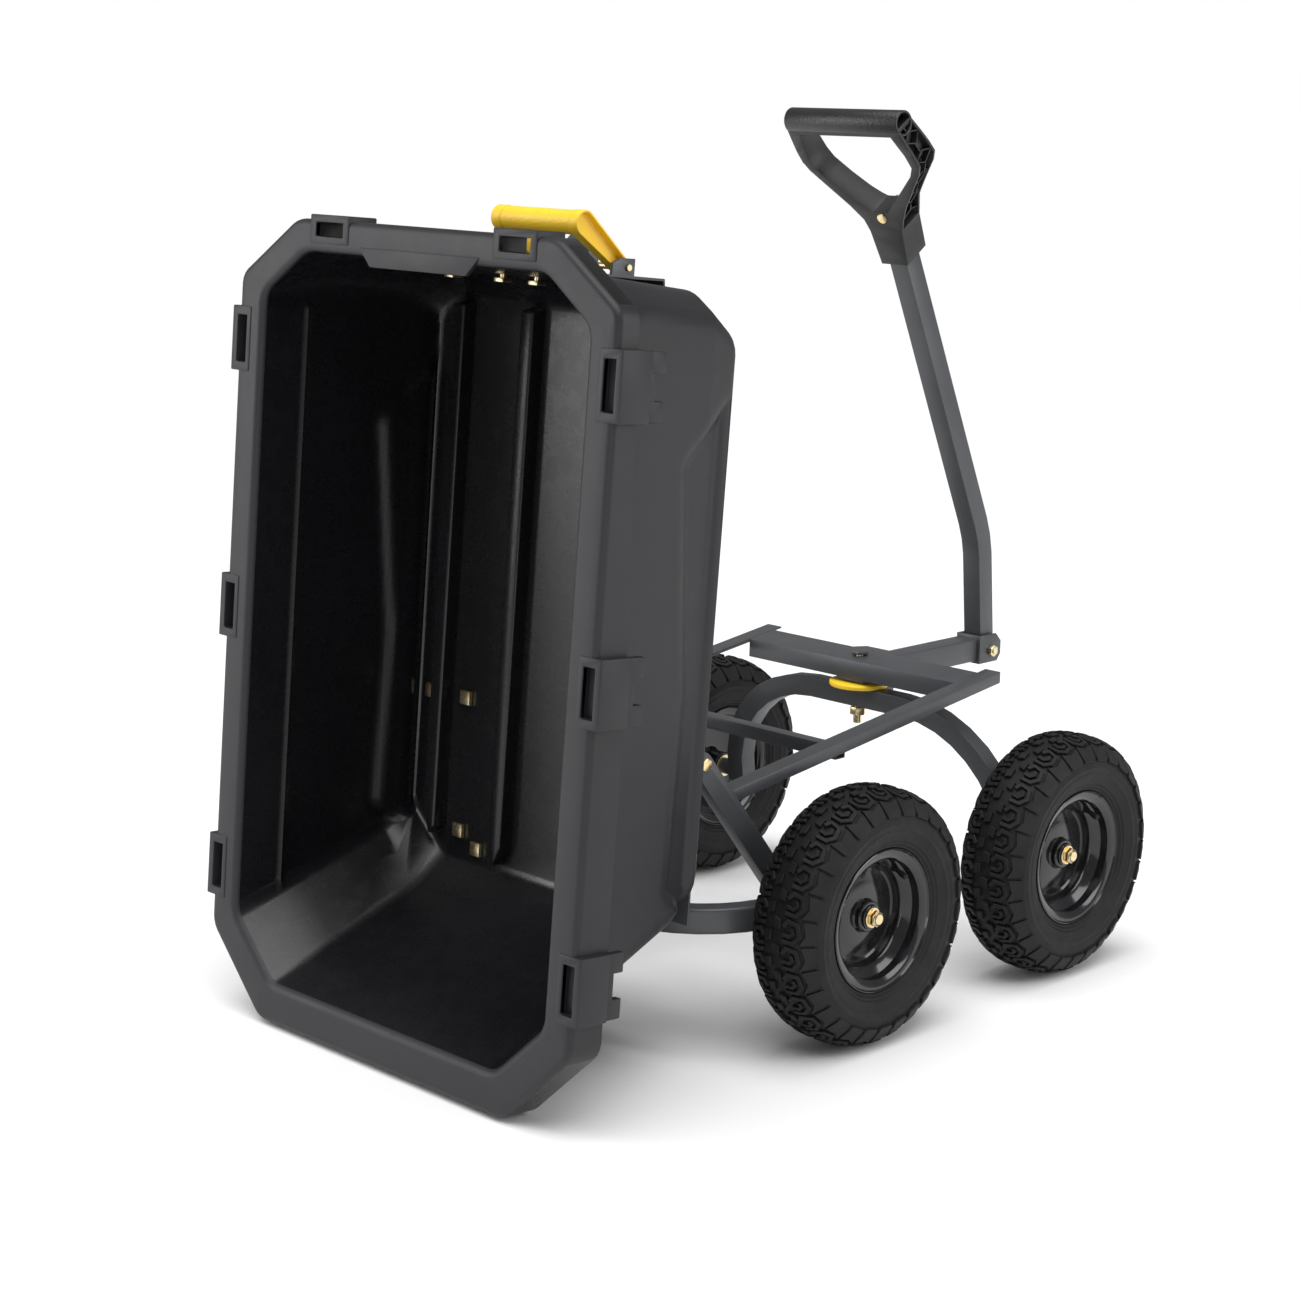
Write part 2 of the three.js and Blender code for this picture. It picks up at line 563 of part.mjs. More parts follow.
function hingePlates() {
  const top = -TUB_DEPTH - GAP;
  const pivotS = (HINGE[0] - TUB_ORIGIN[0]) * Math.sin(radians(TUB_LEAN))
    + (HINGE[1] - TUB_ORIGIN[1]) * Math.cos(radians(TUB_LEAN));
  const pivotN = (HINGE[0] - TUB_ORIGIN[0]) * Math.cos(radians(TUB_LEAN))
    - (HINGE[1] - TUB_ORIGIN[1]) * Math.sin(radians(TUB_LEAN));
  for (const [sideName, side] of SIDES) {
    const [y0, y1] = between(side, HINGE_PAD.inner, HINGE_PAD.outer);
    const plate = box(HINGE_PAD.rear, HINGE_PAD.front, y0, y1, top - HINGE_PLATE, top);
    const { inner, outer, radius, foot } = HINGE_EAR;
    const [e0, e1] = between(side, inner, outer);
    const outline = [[pivotS + foot, top - 2], [pivotS - foot, top - 2],
      [pivotS - radius, -pivotN - 8], ...arc(pivotS, -pivotN, radius, 210, 330, 6),
      [pivotS + radius, -pivotN - 4]];
    const ear = plateXZ(outline.reverse(), e0, e1);
    const holes = boltPlaces().map(([s, v]) => barZ(BOLT_HOLE, s, v, top - 10, top + 5, 12));
    const pivot = barY(PIVOT_HOLE, pivotS, -pivotN, e0 - 1, e1 + 1);
    place(`hinge_plate_${sideName}`, cut(join(plate, ear), ...holes, pivot), FRAME_PAINT, tub);
  }
}

// folded steel bracket on the front wall: it rests on the cross member and carries the latch
function frontBracket() {
  const wallLine = band([[111.4, -140], [111, -200], [110, -270], [80, -274.5]], 1.5);
  const sheet = plateXZ(wallLine, -134, 134);
  const ears = SIDES.map(([, side]) => {
    const [y0, y1] = between(side, 76, 80);
    return plateXZ([[109, -236], [109, -274], [132, -274], [132, -250], [126, -236]].reverse(),
      y0, y1);
  });
  const { s, n, radius } = RELEASE_PIVOT;
  const holes = frontBoltPlaces().map(([v, depth]) => boltX(BOLT_HOLE, v, depth, 100, 130));
  const pinHole = barY(radius + GAP, s, -n, -90, 90);
  // room for the kingpin's head when the tub is down
  const notch = box(70, 118, -15, 15, -280, -258);
  place("front_bracket", cut(join(sheet, ...ears), ...holes, pinHole, notch), FRAME_PAINT, tub);
  place("release_pin", barY(radius, s, -n, -83, 83, 12), ZINC, tub);
  frontBoltPlaces().forEach(([v, depth], i) => {
    const head = box(93.4, 98.6, v - 8, v + 8, -depth - 8, 8 - depth);
    const bolt = join(boltX(BOLT_RADIUS, v, depth, 97, 121), head,
      boltX(2 * BOLT_RADIUS, v, depth, 113.4, 119, 6));
    place(`front_bolt_${i + 1}`, bolt, ZINC, tub);
  });
}

function releaseHandle() {
  const { s, n, radius } = RELEASE_PIVOT;
  const bar = RELEASE_BAR;
  const grip = barY(bar.radius, bar.s, -bar.n, -bar.half, bar.half, 16);
  const turn = THREE.MathUtils.radToDeg(Math.atan2(n - bar.n, bar.s - s));
  const outline = [...arc(s, -n, 9, turn + 90, turn + 270, 8),
    ...arc(bar.s, -bar.n, bar.radius - 1, turn - 90, turn + 90, 8)];
  const arms = SIDES.map(([, side]) => plateXZ(outline, ...between(side, 60, bar.half)));
  const pinHole = barY(radius + 0.5, s, -n, -90, 90);
  place("release_handle", cut(join(grip, ...arms), pinHole), YELLOW, tub);
  const hook = [...arc(s, -n, 9, 90, 270, 8), [150, -n - 9], [153.5, -285], [158, -285],
    [158, -n], [150, -n + 9]];
  place("latch_hook", cut(plateXZ(hook, -20, 20), pinHole), FRAME_PAINT, tub);
}

tubShell();
floorBolts();
hingePlates();
frontBracket();
releaseHandle();

// the origin lies on the ground under the middle of the whole cart's box
cart.updateMatrixWorld(true);
const extent = new THREE.Box3().setFromObject(cart, true);
cart.position.set(-(extent.min.x + extent.max.x) / 2, 0, -extent.min.z);
cart.updateMatrixWorld(true);

export default cart;
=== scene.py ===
"""Garden dump cart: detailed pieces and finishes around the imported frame."""
import json
import math

import bmesh
import bpy
from bpy.props import FloatProperty, FloatVectorProperty, IntProperty, PointerProperty
from mathutils import Matrix, Vector


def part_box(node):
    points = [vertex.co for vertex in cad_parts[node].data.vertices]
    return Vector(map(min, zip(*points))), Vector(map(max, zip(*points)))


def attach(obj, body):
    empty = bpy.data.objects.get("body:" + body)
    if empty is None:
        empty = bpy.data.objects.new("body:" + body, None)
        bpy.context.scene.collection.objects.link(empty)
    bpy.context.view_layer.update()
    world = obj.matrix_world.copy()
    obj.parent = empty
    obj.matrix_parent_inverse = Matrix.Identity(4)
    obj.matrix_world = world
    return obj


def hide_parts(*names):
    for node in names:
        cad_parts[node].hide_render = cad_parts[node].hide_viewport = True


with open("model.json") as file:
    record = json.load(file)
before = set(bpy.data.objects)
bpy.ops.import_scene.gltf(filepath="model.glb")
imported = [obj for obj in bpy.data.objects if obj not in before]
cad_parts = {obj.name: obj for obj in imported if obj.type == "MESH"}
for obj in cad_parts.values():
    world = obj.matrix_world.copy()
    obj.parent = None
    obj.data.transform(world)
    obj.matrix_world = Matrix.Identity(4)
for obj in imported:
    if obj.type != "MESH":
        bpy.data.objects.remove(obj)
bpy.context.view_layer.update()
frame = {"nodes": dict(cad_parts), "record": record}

bl_info = {
    "name": "Garden Dump Cart",
    "version": (1, 0, 0),
    "blender": (4, 5, 0),
    "location": "3D View > Sidebar > Dump Cart",
    "description": "Builds the detailed pieces of a garden dump cart around its frame",
    "category": "Object",
}

MM = 0.001
RAD = math.radians(1)
SIDES = (("right", -1), ("left", 1))
WHEELS = ("rear_right", "rear_left", "front_right", "front_left")
BODY_OF = {
    node: body
    for body, nodes in frame["record"]["behaviour"]["bodies"].items()
    for node in nodes
}


def side_of(wheel):
    """1 on the left and -1 on the right, as +Y is to the left."""
    return 1 if wheel.endswith("left") else -1


def middle(node):
    """The middle of a node's box."""
    low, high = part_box(node)
    return (low + high) / 2


REAR_HUB = middle("tyre_rear_right")


def at(x, y, z):
    """A place in millimetres ahead of the rear hubs, left of the middle and above the ground."""
    return Vector((REAR_HUB.x + x * MM, y * MM, z * MM))


# the tub's own frame: s forward along the rim, v left, and up out of the mouth
TUB_LEAN = 4.052 * RAD
TUB_FRAME = Matrix.Translation(at(-457.24, 0, 853.02)) @ Matrix.Rotation(TUB_LEAN - math.pi / 2, 4, "Y")
TUB_WALL = 5
TUB_DEPTH = 272
RIM_FRONT = 152
RIM_REAR = -850
RIM_HALF = 332
SLOT_ROWS = (0, -335, -671)
SLOT_SIDE = 323
END_SLOT = (140.5, 162)
RELEASE_PIVOT = (121, -262)
RELEASE_BAR = (170, -192)
ZINC_CORNER = 0.9 * MM
RIBS = (-205, -77, 77, 205)
RIB_HALF = 15
RIB_FRONT = 62
RIB_POINT = 24


# ------------------------------------------------------------------ user settings
def colour(name, description, value):
    return FloatVectorProperty(
        name=name, description=description, subtype="COLOR", size=3, min=0, max=1, default=value
    )


def length(name, description, value):
    return FloatProperty(
        name=name, description=description, default=value * MM, unit="LENGTH", precision=4
    )


class CartSizes(bpy.types.PropertyGroup):
    tread_height: length("Tread height", "How far the tread blocks stand above the tyre's casing", 4.6)
    tread_pitches: IntProperty(
        name="Tread pitches", description="How often the tread pattern repeats round a tyre",
        default=30, min=12,
    )
    steel_corner: length("Steel corner", "Radius of the corners of the frame's tubes and angles", 3.2)
    plate_corner: length("Plate corner", "Radius of the edges of plates and brackets", 0.9)
    tub_wall: length("Tub wall", "Thickness of the moulded tub", TUB_WALL)
    rib_height: length("Floor rib height", "How far the floor ribs stand above the tub's floor", 18)


class CartColours(bpy.types.PropertyGroup):
    paint: colour("Frame paint", "Powder coat on the steel frame", (0.068, 0.071, 0.077))
    zinc: colour("Zinc", "Yellow-passivated zinc on the hardware", (0.78, 0.66, 0.40))
    tub: colour("Tub", "Moulded plastic of the tub", (0.0128, 0.0122, 0.0150))
    rubber: colour("Rubber", "Tyre rubber", (0.0098, 0.0095, 0.0100))
    enamel: colour("Enamel", "Gloss enamel on the wheel rims", (0.006, 0.006, 0.007))
    yellow: colour("Yellow plastic", "Release handle and steering ring", (1.0, 0.63, 0.025))
    grip: colour("Grip plastic", "Pull grip", (0.0085, 0.0088, 0.0096))


# ------------------------------------------------------------------ materials
class Value:
    """A shader socket that takes part in arithmetic, each step adding a Math node."""

    def __init__(self, finish, socket):
        self.finish = finish
        self.socket = socket

    def math(self, operation, first, second):
        return self.finish.node("ShaderNodeMath", {"operation": operation}, {0: first, 1: second})

    def __add__(self, other):
        return self.math("ADD", self, other)

    def __mul__(self, other):
        return self.math("MULTIPLY", self, other)

    __radd__ = __add__
    __rmul__ = __mul__


class Finish:
    """One material: a principled shader with constants, and the nodes that vary it."""

    def __init__(self, name, base, constants):
        self.material = bpy.data.materials.new(name)
        self.material.use_nodes = True
        self.tree = self.material.node_tree
        self.shader = self.tree.nodes["Principled BSDF"]
        self.shader.inputs["Base Color"].default_value = (*base, 1)
        for socket, value in constants.items():
            self.shader.inputs[socket].default_value = value
        self.place = self.node("ShaderNodeTexCoord", {}, {}, "Object")

    def node(self, kind, settings, inputs, output=0):
        node = self.tree.nodes.new(kind)
        for name, value in settings.items():
            if name == "stops":
                for stop, (position, tint) in zip(node.color_ramp.elements, value):
                    stop.position = position
                    stop.color = (*tint, 1)
            else:
                setattr(node, name, value)
        for key, value in inputs.items():
            self.feed(node.inputs[key], value)
        return Value(self, node.outputs[output])

    def feed(self, socket, value):
        if isinstance(value, Value):
            self.tree.links.new(value.socket, socket)
        else:
            socket.default_value = value

    def noise(self, scale, detail, roughness=0.55):
        inputs = {"Vector": self.place, "Scale": scale, "Detail": detail, "Roughness": roughness}
        return self.node("ShaderNodeTexNoise", {}, inputs, "Fac")

    def cells(self, scale):
        inputs = {"Vector": self.place, "Scale": scale}
        return self.node("ShaderNodeTexVoronoi", {}, inputs, "Distance")

    def ramp(self, value, low, high):
        return self.node("ShaderNodeValToRGB", {"stops": (low, high)}, {"Fac": value}, "Color")

    def relief(self, height, strength, distance):
        inputs = {"Height": height, "Strength": strength, "Distance": distance}
        self.vary("Normal", self.node("ShaderNodeBump", {}, inputs, "Normal"))

    def vary(self, socket, value):
        self.feed(self.shader.inputs[socket], value)

    def mottle(self, value, base, low, high):
        """Varies the base colour between two shades of it, each a (stop, factor) pair."""
        stops = [(stop, shade(base, factor)) for stop, factor in (low, high)]
        self.vary("Base Color", self.ramp(value, *stops))


def shade(base, factor):
    """A colour made lighter or darker."""
    return tuple(min(1.0, part * factor) for part in base)


def powder_coat(name, colours):
    finish = Finish(name, colours.paint, {"Specular IOR Level": 0.5, "Coat Roughness": 0.3})
    cloud = finish.noise(9, 4)
    finish.mottle(cloud, colours.paint, (0.3, 0.86), (0.7, 1.12))
    finish.vary("Roughness", 0.33 + 0.12 * finish.noise(60, 3))
    finish.vary("Metallic", 0.25 + 0.1 * cloud)
    finish.relief(finish.noise(900, 2), 0.12, 0.0004)
    return finish.material


def zinc_plate(name, colours):
    finish = Finish(name, colours.zinc, {"Metallic": 1.0})
    tint = finish.noise(90, 3)
    finish.vary("Base Color", finish.ramp(tint, (0.35, (0.74, 0.70, 0.46)), (0.65, (0.86, 0.60, 0.30))))
    finish.vary("Roughness", 0.2 + 0.18 * finish.noise(350, 3))
    finish.relief(finish.noise(1500, 2), 0.08, 0.0002)
    return finish.material


# the factor darkens the tub's colour: below 1 it is painted shade, used on the inside of the tub, which is
# the same plastic as the outside
def tub_plastic(name, colours, painted_shade_factor, rough, grain):
    base = shade(colours.tub, painted_shade_factor)
    finish = Finish(name, base, {"Specular IOR Level": 0.4})
    cloud = finish.noise(5, 4)
    finish.mottle(cloud, base, (0.25, 0.8), (0.75, 1.2))
    scuff = finish.noise(40, 6, 0.7)
    finish.vary("Roughness", rough + 0.16 * scuff + 0.06 * cloud)
    finish.relief(finish.noise(1400, 3) + 0.6 * finish.noise(14, 2), grain, 0.0006)
    return finish.material


def rubber(name, colours):
    finish = Finish(name, colours.rubber, {"Specular IOR Level": 0.2})
    dust = finish.noise(26, 5, 0.65)
    finish.mottle(dust, colours.rubber, (0.3, 0.75), (0.8, 1.7))
    finish.vary("Roughness", 0.48 + 0.22 * finish.noise(120, 4))
    finish.relief(finish.noise(700, 3), 0.18, 0.0005)
    return finish.material


def gloss_enamel(name, colours):
    constants = {"Coat Roughness": 0.04, "Coat Weight": 0.35, "Specular IOR Level": 0.35}
    finish = Finish(name, colours.enamel, constants)
    finish.vary("Roughness", 0.1 + 0.14 * finish.noise(45, 4))
    speck = finish.noise(300, 2)
    finish.mottle(speck, colours.enamel, (0.4, 1.0), (0.8, 2.2))
    finish.relief(finish.noise(160, 2), 0.05, 0.0005)
    return finish.material


def yellow_plastic(name, colours, hatch):
    constants = {"Subsurface Weight": 0.04, "Subsurface Radius": (0.004, 0.002, 0.001)}
    finish = Finish(name, colours.yellow, constants)
    cloud = finish.noise(24, 4)
    finish.mottle(cloud, colours.yellow, (0.3, 0.92), (0.75, 1.06))
    finish.vary("Roughness", 0.36 + 0.14 * finish.noise(200, 3))
    height = finish.cells(330) if hatch else finish.noise(1100, 2)
    finish.relief(height, 0.5 if hatch else 0.12, 0.0006)
    return finish.material


def grip_plastic(name, colours, hatch):
    finish = Finish(name, colours.grip, {"Specular IOR Level": 0.5})
    cloud = finish.noise(30, 4)
    finish.mottle(cloud, colours.grip, (0.3, 0.8), (0.75, 1.25))
    finish.vary("Roughness", (0.3 if hatch else 0.42) + 0.14 * finish.noise(150, 3))
    height = finish.cells(420) if hatch else finish.noise(1300, 2)
    finish.relief(height, 0.55 if hatch else 0.15, 0.0006)
    return finish.material


MAKERS = {
    "frame_powder_coat": powder_coat,
    "yellow_zinc": zinc_plate,
    "tub_outside": lambda name, colours: tub_plastic(name, colours, 1.0, 0.38, 0.20),
    # the inside of the tub and its floor ribs: the same plastic, glossier, with painted shade in its colour
    # (0.4 of the tub's)
    "tub_inside": lambda name, colours: tub_plastic(name, colours, 0.4, 0.16, 0.07),
    "tyre_rubber": rubber,
    "rim_enamel": gloss_enamel,
    "yellow_smooth": lambda name, colours: yellow_plastic(name, colours, False),
    "yellow_hatched": lambda name, colours: yellow_plastic(name, colours, True),
    "grip_smooth": lambda name, colours: grip_plastic(name, colours, False),
    "grip_hatched": lambda name, colours: grip_plastic(name, colours, True),
}


def material(name):
    made = bpy.data.materials.get(name)
    return made or MAKERS[name](name, bpy.context.scene.cart_colours)


# ------------------------------------------------------------------ mesh helpers
def linked(name, data):
    """A new object, in the scene."""
    made = bpy.data.objects.new(name, data)
    bpy.context.scene.collection.objects.link(made)
    return made


def new_piece(name, bm, finishes, body, replaces=(), sharp=30):
    """Closes the bmesh, smooths it between its sharp edges and puts it on its body."""
    bmesh.ops.remove_doubles(bm, verts=bm.verts, dist=1e-6)
    bmesh.ops.recalc_face_normals(bm, faces=bm.faces)
    return finished(name, bm, finishes, body, replaces, sharp)


def finished(name, bm, finishes, body, replaces=(), sharp=30):
    """Makes an object of a bmesh, with its finishes, and puts it on its body."""
    for face in bm.faces:
        face.smooth = True
    for edge in bm.edges:
        edge.smooth = edge.is_manifold and edge.calc_face_angle(0) < sharp * RAD
    mesh = bpy.data.meshes.new(name)
    bm.to_mesh(mesh)
    bm.free()
    for finish in finishes:
        mesh.materials.append(material(finish))
    piece = linked(name, mesh)
    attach(piece, body)
    if replaces:
        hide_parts(*replaces)
    return piece


def bevelled(bm, edges, radius, segments):
    bmesh.ops.bevel(
        bm, geom=edges, offset=radius, offset_type="OFFSET", segments=segments, profile=0.5,
        affect="EDGES", clamp_overlap=True, material=-1,
    )


def rounded(bm, radius, segments=2, sharp=25, shortest=0.0):
    """Rounds every edge that is sharper than an angle and longer than a length."""
    edges = [
        edge for edge in bm.edges
        if edge.is_manifold and edge.calc_face_angle(0) > sharp * RAD and edge.calc_length() > shortest
    ]
    bevelled(bm, edges, radius, segments)


def refined(node, finish, radius, segments=2, shortest=0.005):
    """The node's own shape with its corners rounded off."""
    bm = bmesh.new()
    bm.from_mesh(frame["nodes"][node].data)
    bmesh.ops.remove_doubles(bm, verts=bm.verts, dist=1e-5)
    bmesh.ops.dissolve_limit(bm, angle_limit=RAD, verts=bm.verts, edges=bm.edges)
    rounded(bm, radius, segments, shortest=shortest)
    return new_piece(f"{node}_finished", bm, [finish], BODY_OF[node], [node])


def outline_face(bm, points):
    return bm.faces.new([bm.verts.new(Vector(point)) for point in points])


def raised(bm, face, by):
    """Extrudes a face into a closed block and returns the far face."""
    grown = bmesh.ops.extrude_face_region(bm, geom=[face], use_keep_orig=True)["geom"]
    verts = [part for part in grown if isinstance(part, bmesh.types.BMVert)]
    bmesh.ops.translate(bm, vec=Vector(by), verts=verts)
    return next(part for part in grown if isinstance(part, bmesh.types.BMFace))


def ribbon(path, width):
    """Outline of a band of constant width along a path in a plane."""
    near, far = [], []
    last = len(path) - 1
    for i, (x, y) in enumerate(path):
        ax, ay = path[max(i - 1, 0)]
        bx, by = path[min(i + 1, last)]
        before = math.atan2(y - ay, x - ax)
        after = math.atan2(by - y, bx - x)
        turn = 0
        if 0 < i < last:
            turn = (after - before + math.pi) % (2 * math.pi) - math.pi
        angle = (after if i == 0 else before) + turn / 2
        reach = width / 2 / math.cos(turn / 2)
        near.append((x + reach * math.sin(angle), y - reach * math.cos(angle)))
        far.append((x - reach * math.sin(angle), y + reach * math.cos(angle)))
    return near + far[::-1]


def ring(bm, points):
    """Closed loop of edges through points in metres."""
    verts = [bm.verts.new(point) for point in points]
    return [bm.edges.new(pair) for pair in zip(verts, verts[1:] + verts[:1])]


def spun(bm, profile, centre, steps):
    """Turns a closed profile of (radius, y) in millimetres round the wheel's axle."""
    verts = [bm.verts.new(centre + Vector((r * MM, y * MM, 0))) for r, y in profile]
    edges = [bm.edges.new(pair) for pair in zip(verts, verts[1:] + verts[:1])]
    bmesh.ops.spin(
        bm, geom=verts + edges, cent=centre, axis=(0, 1, 0), dvec=(0, 0, 0),
        angle=2 * math.pi, steps=steps, use_merge=True, use_duplicate=False,
    )


def between(table, key):
    """A table's row at a key, between the rows before and after it; the key is column one."""
    for before, after in zip(table, table[1:]):
        if key <= after[0]:
            break
    part = min(1, max(0, (key - before[0]) / (after[0] - before[0])))
    return [low + (high - low) * part for low, high in zip(before, after)]


def block(bm, low, high):
    """A closed box between two corners, both in millimetres."""
    low, high = Vector(low) * MM, Vector(high) * MM
    made = bmesh.ops.create_cube(bm, size=1)["verts"]
    bmesh.ops.scale(bm, vec=high - low, verts=made)
    bmesh.ops.translate(bm, vec=(low + high) / 2, verts=made)


def rod(bm, start, end, radius, segments=24):
    """A closed round bar between two points in metres."""
    start, end = Vector(start), Vector(end)
    run = end - start
    turn = run.to_track_quat("Z", "Y").to_matrix().to_4x4()
    place = Matrix.Translation((start + end) / 2) @ turn
    bmesh.ops.create_cone(
        bm, cap_ends=True, cap_tris=False, segments=segments, radius1=radius, radius2=radius,
        depth=run.length, matrix=place,
    )


# ------------------------------------------------------------------ tub
# rings of the moulding's upper face, from the skirt over the rim to the floor: rear end,
# front end, half width, how far the front and rear corners are cut back, depth
TUB_RINGS = (
    (RIM_REAR, RIM_FRONT, RIM_HALF, (72, 104), (100, 104), 50),
    (RIM_REAR, RIM_FRONT, RIM_HALF, (72, 104), (100, 104), 0),
    (-801, 114, 286, (56, 78), (74, 78), 0),
    (-754, 107, 276, (30, 46), (70, 75), 100),
    (-696, 98, 265, (28, 42), (64, 70), 222),
    (-657, 67, 256, (24, 36), (54, 64), TUB_DEPTH - TUB_WALL),
)
# the line along a side wall below which it steps inwards: place along the wall, depth
SHOULDER = ((-670, 300), (-603, 192), (-366, 199), (-92, 170), (-12, 257), (60, 300))
SHOULDER_STEP = 10
GROOVE_PLACE = 66
GROOVE_DEPTH = 2.5
GROOVE_HALF = 7


def section(bm, rear, front, half, front_cut, rear_cut, depth):
    """Eight-cornered ring of the tub at one depth."""
    fs, fv = front_cut
    rs, rv = rear_cut
    corners = (
        (front, fv - half), (front, half - fv), (front - fs, half), (rear + rs, half),
        (rear, half - rv), (rear, rv - half), (rear + rs, -half), (front - fs, -half),
    )
    return ring(bm, [(s * MM, v * MM, -depth * MM) for s, v in corners])


def skirt_depth(s):
    """The skirt is shallow at the front and deeper from the middle slots rearwards."""
    reach = min(1, max(0, (RIM_FRONT - 60 - s) / 430))
    return 30 + 20 * reach


def ease(value):
    """Smooth step from 0 to 1."""
    value = min(1, max(0, value))
    return value * value * (3 - 2 * value)


def slice_faces(bm, chosen, point, normal):
    """Cuts the faces that are chosen by their middle along a plane."""
    faces = [face for face in bm.faces if chosen(face.calc_center_median())]
    edges = dict.fromkeys(edge for face in faces for edge in face.edges)
    verts = dict.fromkeys(vert for face in faces for vert in face.verts)
    bmesh.ops.bisect_plane(
        bm, geom=[*verts, *edges, *faces], dist=1e-6, plane_co=Vector(point) * MM, plane_no=normal
    )


def on_side(place):
    """Whether a place is on a side wall, between the rim and the floor."""
    return abs(place.y) > 0.24 and -0.262 < place.z < -0.012 and -0.70 < place.x < 0.05


def on_rim(place):
    """Whether a place is on the side or front stretches of the rim, or on their skirt."""
    return place.z > -0.06 and (abs(place.y) > 0.288 or place.x > 0.117)


def side_walls(bm):
    """Steps the side walls inwards below the shoulder and grooves them above it."""
    for s in range(-690, 50, 9):
        slice_faces(bm, on_side, (s, 0, 0), (1, 0, 0))
    groove_cuts = range(GROOVE_PLACE - 8, GROOVE_PLACE + 9, 4)
    for n in [*groove_cuts, *range(148, 262, 6)]:
        slice_faces(bm, on_side, (0, 0, -n), (0, 0, 1))
    for vert in bm.verts:
        s, n = vert.co.x / MM, -vert.co.z / MM
        if abs(vert.co.y) > 0.235 and 14 < n < 266:
            _, shoulder = between(SHOULDER, s)
            step = SHOULDER_STEP * ease((n - shoulder) / 26) * ease((268 - n) / 20)
            dip = GROOVE_DEPTH * ease(1 - abs(n - GROOVE_PLACE) / GROOVE_HALF)
            groove = dip * ease((s + 780) / 20) * ease((90 - s) / 20)
            vert.co.y -= math.copysign((step + groove) * MM, vert.co.y)


def slot_places():
    """(s, v, half length in s, half width in v, at the front end) of the eight tie slots."""
    sides = [(s, side * SLOT_SIDE, 29, 9, False) for s in SLOT_ROWS for _, side in SIDES]
    return sides + [(END_SLOT[0], side * END_SLOT[1], 8.5, 25, True) for _, side in SIDES]


def open_slots(bm):
    """Cuts each tie slot out of the rim, and out of the skirt beside it."""
    for s, v, long, wide, _ in slot_places():
        for edge in (s - long, s + long):
            slice_faces(bm, on_rim, (edge, 0, 0), (1, 0, 0))
        for edge in (v - wide, v + wide):
            slice_faces(bm, on_rim, (0, edge, 0), (0, 1, 0))
    gone = []
    for face in bm.faces:
        centre = face.calc_center_median() / MM
        for s, v, long, wide, at_end in slot_places():
            reach_s = long + (12 if at_end else 0)
            reach_v = wide + (0 if at_end else 6)
            if abs(centre.x - s) < reach_s and abs(centre.y - v) < reach_v and centre.z > -60:
                if abs(centre.x - s) < long or (at_end and centre.x > s):
                    gone.append(face)
                    break
    bmesh.ops.delete(bm, geom=gone, context="FACES")


def tub_sheet():
    """The upper face of the moulding, in the tub's own frame."""
    bm = bmesh.new()
    rings = [section(bm, *row) for row in TUB_RINGS]
    for upper, lower in zip(rings, rings[1:]):
        bmesh.ops.bridge_loops(bm, edges=upper + lower)
    bmesh.ops.edgeloop_fill(bm, edges=rings[-1])
    bmesh.ops.recalc_face_normals(bm, faces=bm.faces)
    floor = min(bm.faces, key=lambda face: face.calc_center_median().z)
    if floor.normal.z < 0:
        bmesh.ops.reverse_faces(bm, faces=bm.faces)
    upright = [edge for edge in bm.edges if abs(edge.verts[0].co.z - edge.verts[1].co.z) > 0.01]
    soften(bm, upright, 0.012, 3)
    ledge = [edge for edge in bm.edges if max(abs(vert.co.z) for vert in edge.verts) < 1e-5]
    soften(bm, [edge for edge in ledge if edge.calc_face_angle(0) > 30 * RAD], 0.008, 4)
    low = [edge for edge in bm.edges if max(vert.co.z for vert in edge.verts) < -0.24]
    soften(bm, [edge for edge in low if edge.calc_face_angle(0) > 14 * RAD], 0.007, 3)
    side_walls(bm)
    open_slots(bm)
    for vert in bm.verts:
        if vert.is_boundary and vert.co.z < -0.045:
            vert.co.z = -skirt_depth(vert.co.x / MM) * MM
    return bm


def soften(bm, edges, radius, segments):
    bevelled(bm, [edge for edge in edges if edge.is_manifold], radius, segments)


def rectangle(s0, s1, v0, v1, z):
    return [(s * MM, v * MM, z * MM) for s, v in ((s0, v0), (s1, v0), (s1, v1), (s0, v1))]


def slot_frame(bm, outer, inner, depth):
    """A moulded block with a slot right through it."""
    loops = []
    for z in (1.2, -depth):
        for corners in (outer, inner):
            loops.append(ring(bm, rectangle(*corners, z)))
    top_out, top_in, low_out, low_in = loops
    for first, second in ((top_out, top_in), (top_out, low_out), (top_in, low_in), (low_out, low_in)):
        bmesh.ops.bridge_loops(bm, edges=first + second)


# feet of a side slot's bracket, under its block: rear end, front end, depth
SLOT_FEET = ((-39, -15, 69), (15, 39, 69), (-16, 16, 55))
# the lip between the two front slots: place and half width of its rear and front edges
LIP_REAR, LIP_FRONT = (101, 84), (123, 106)


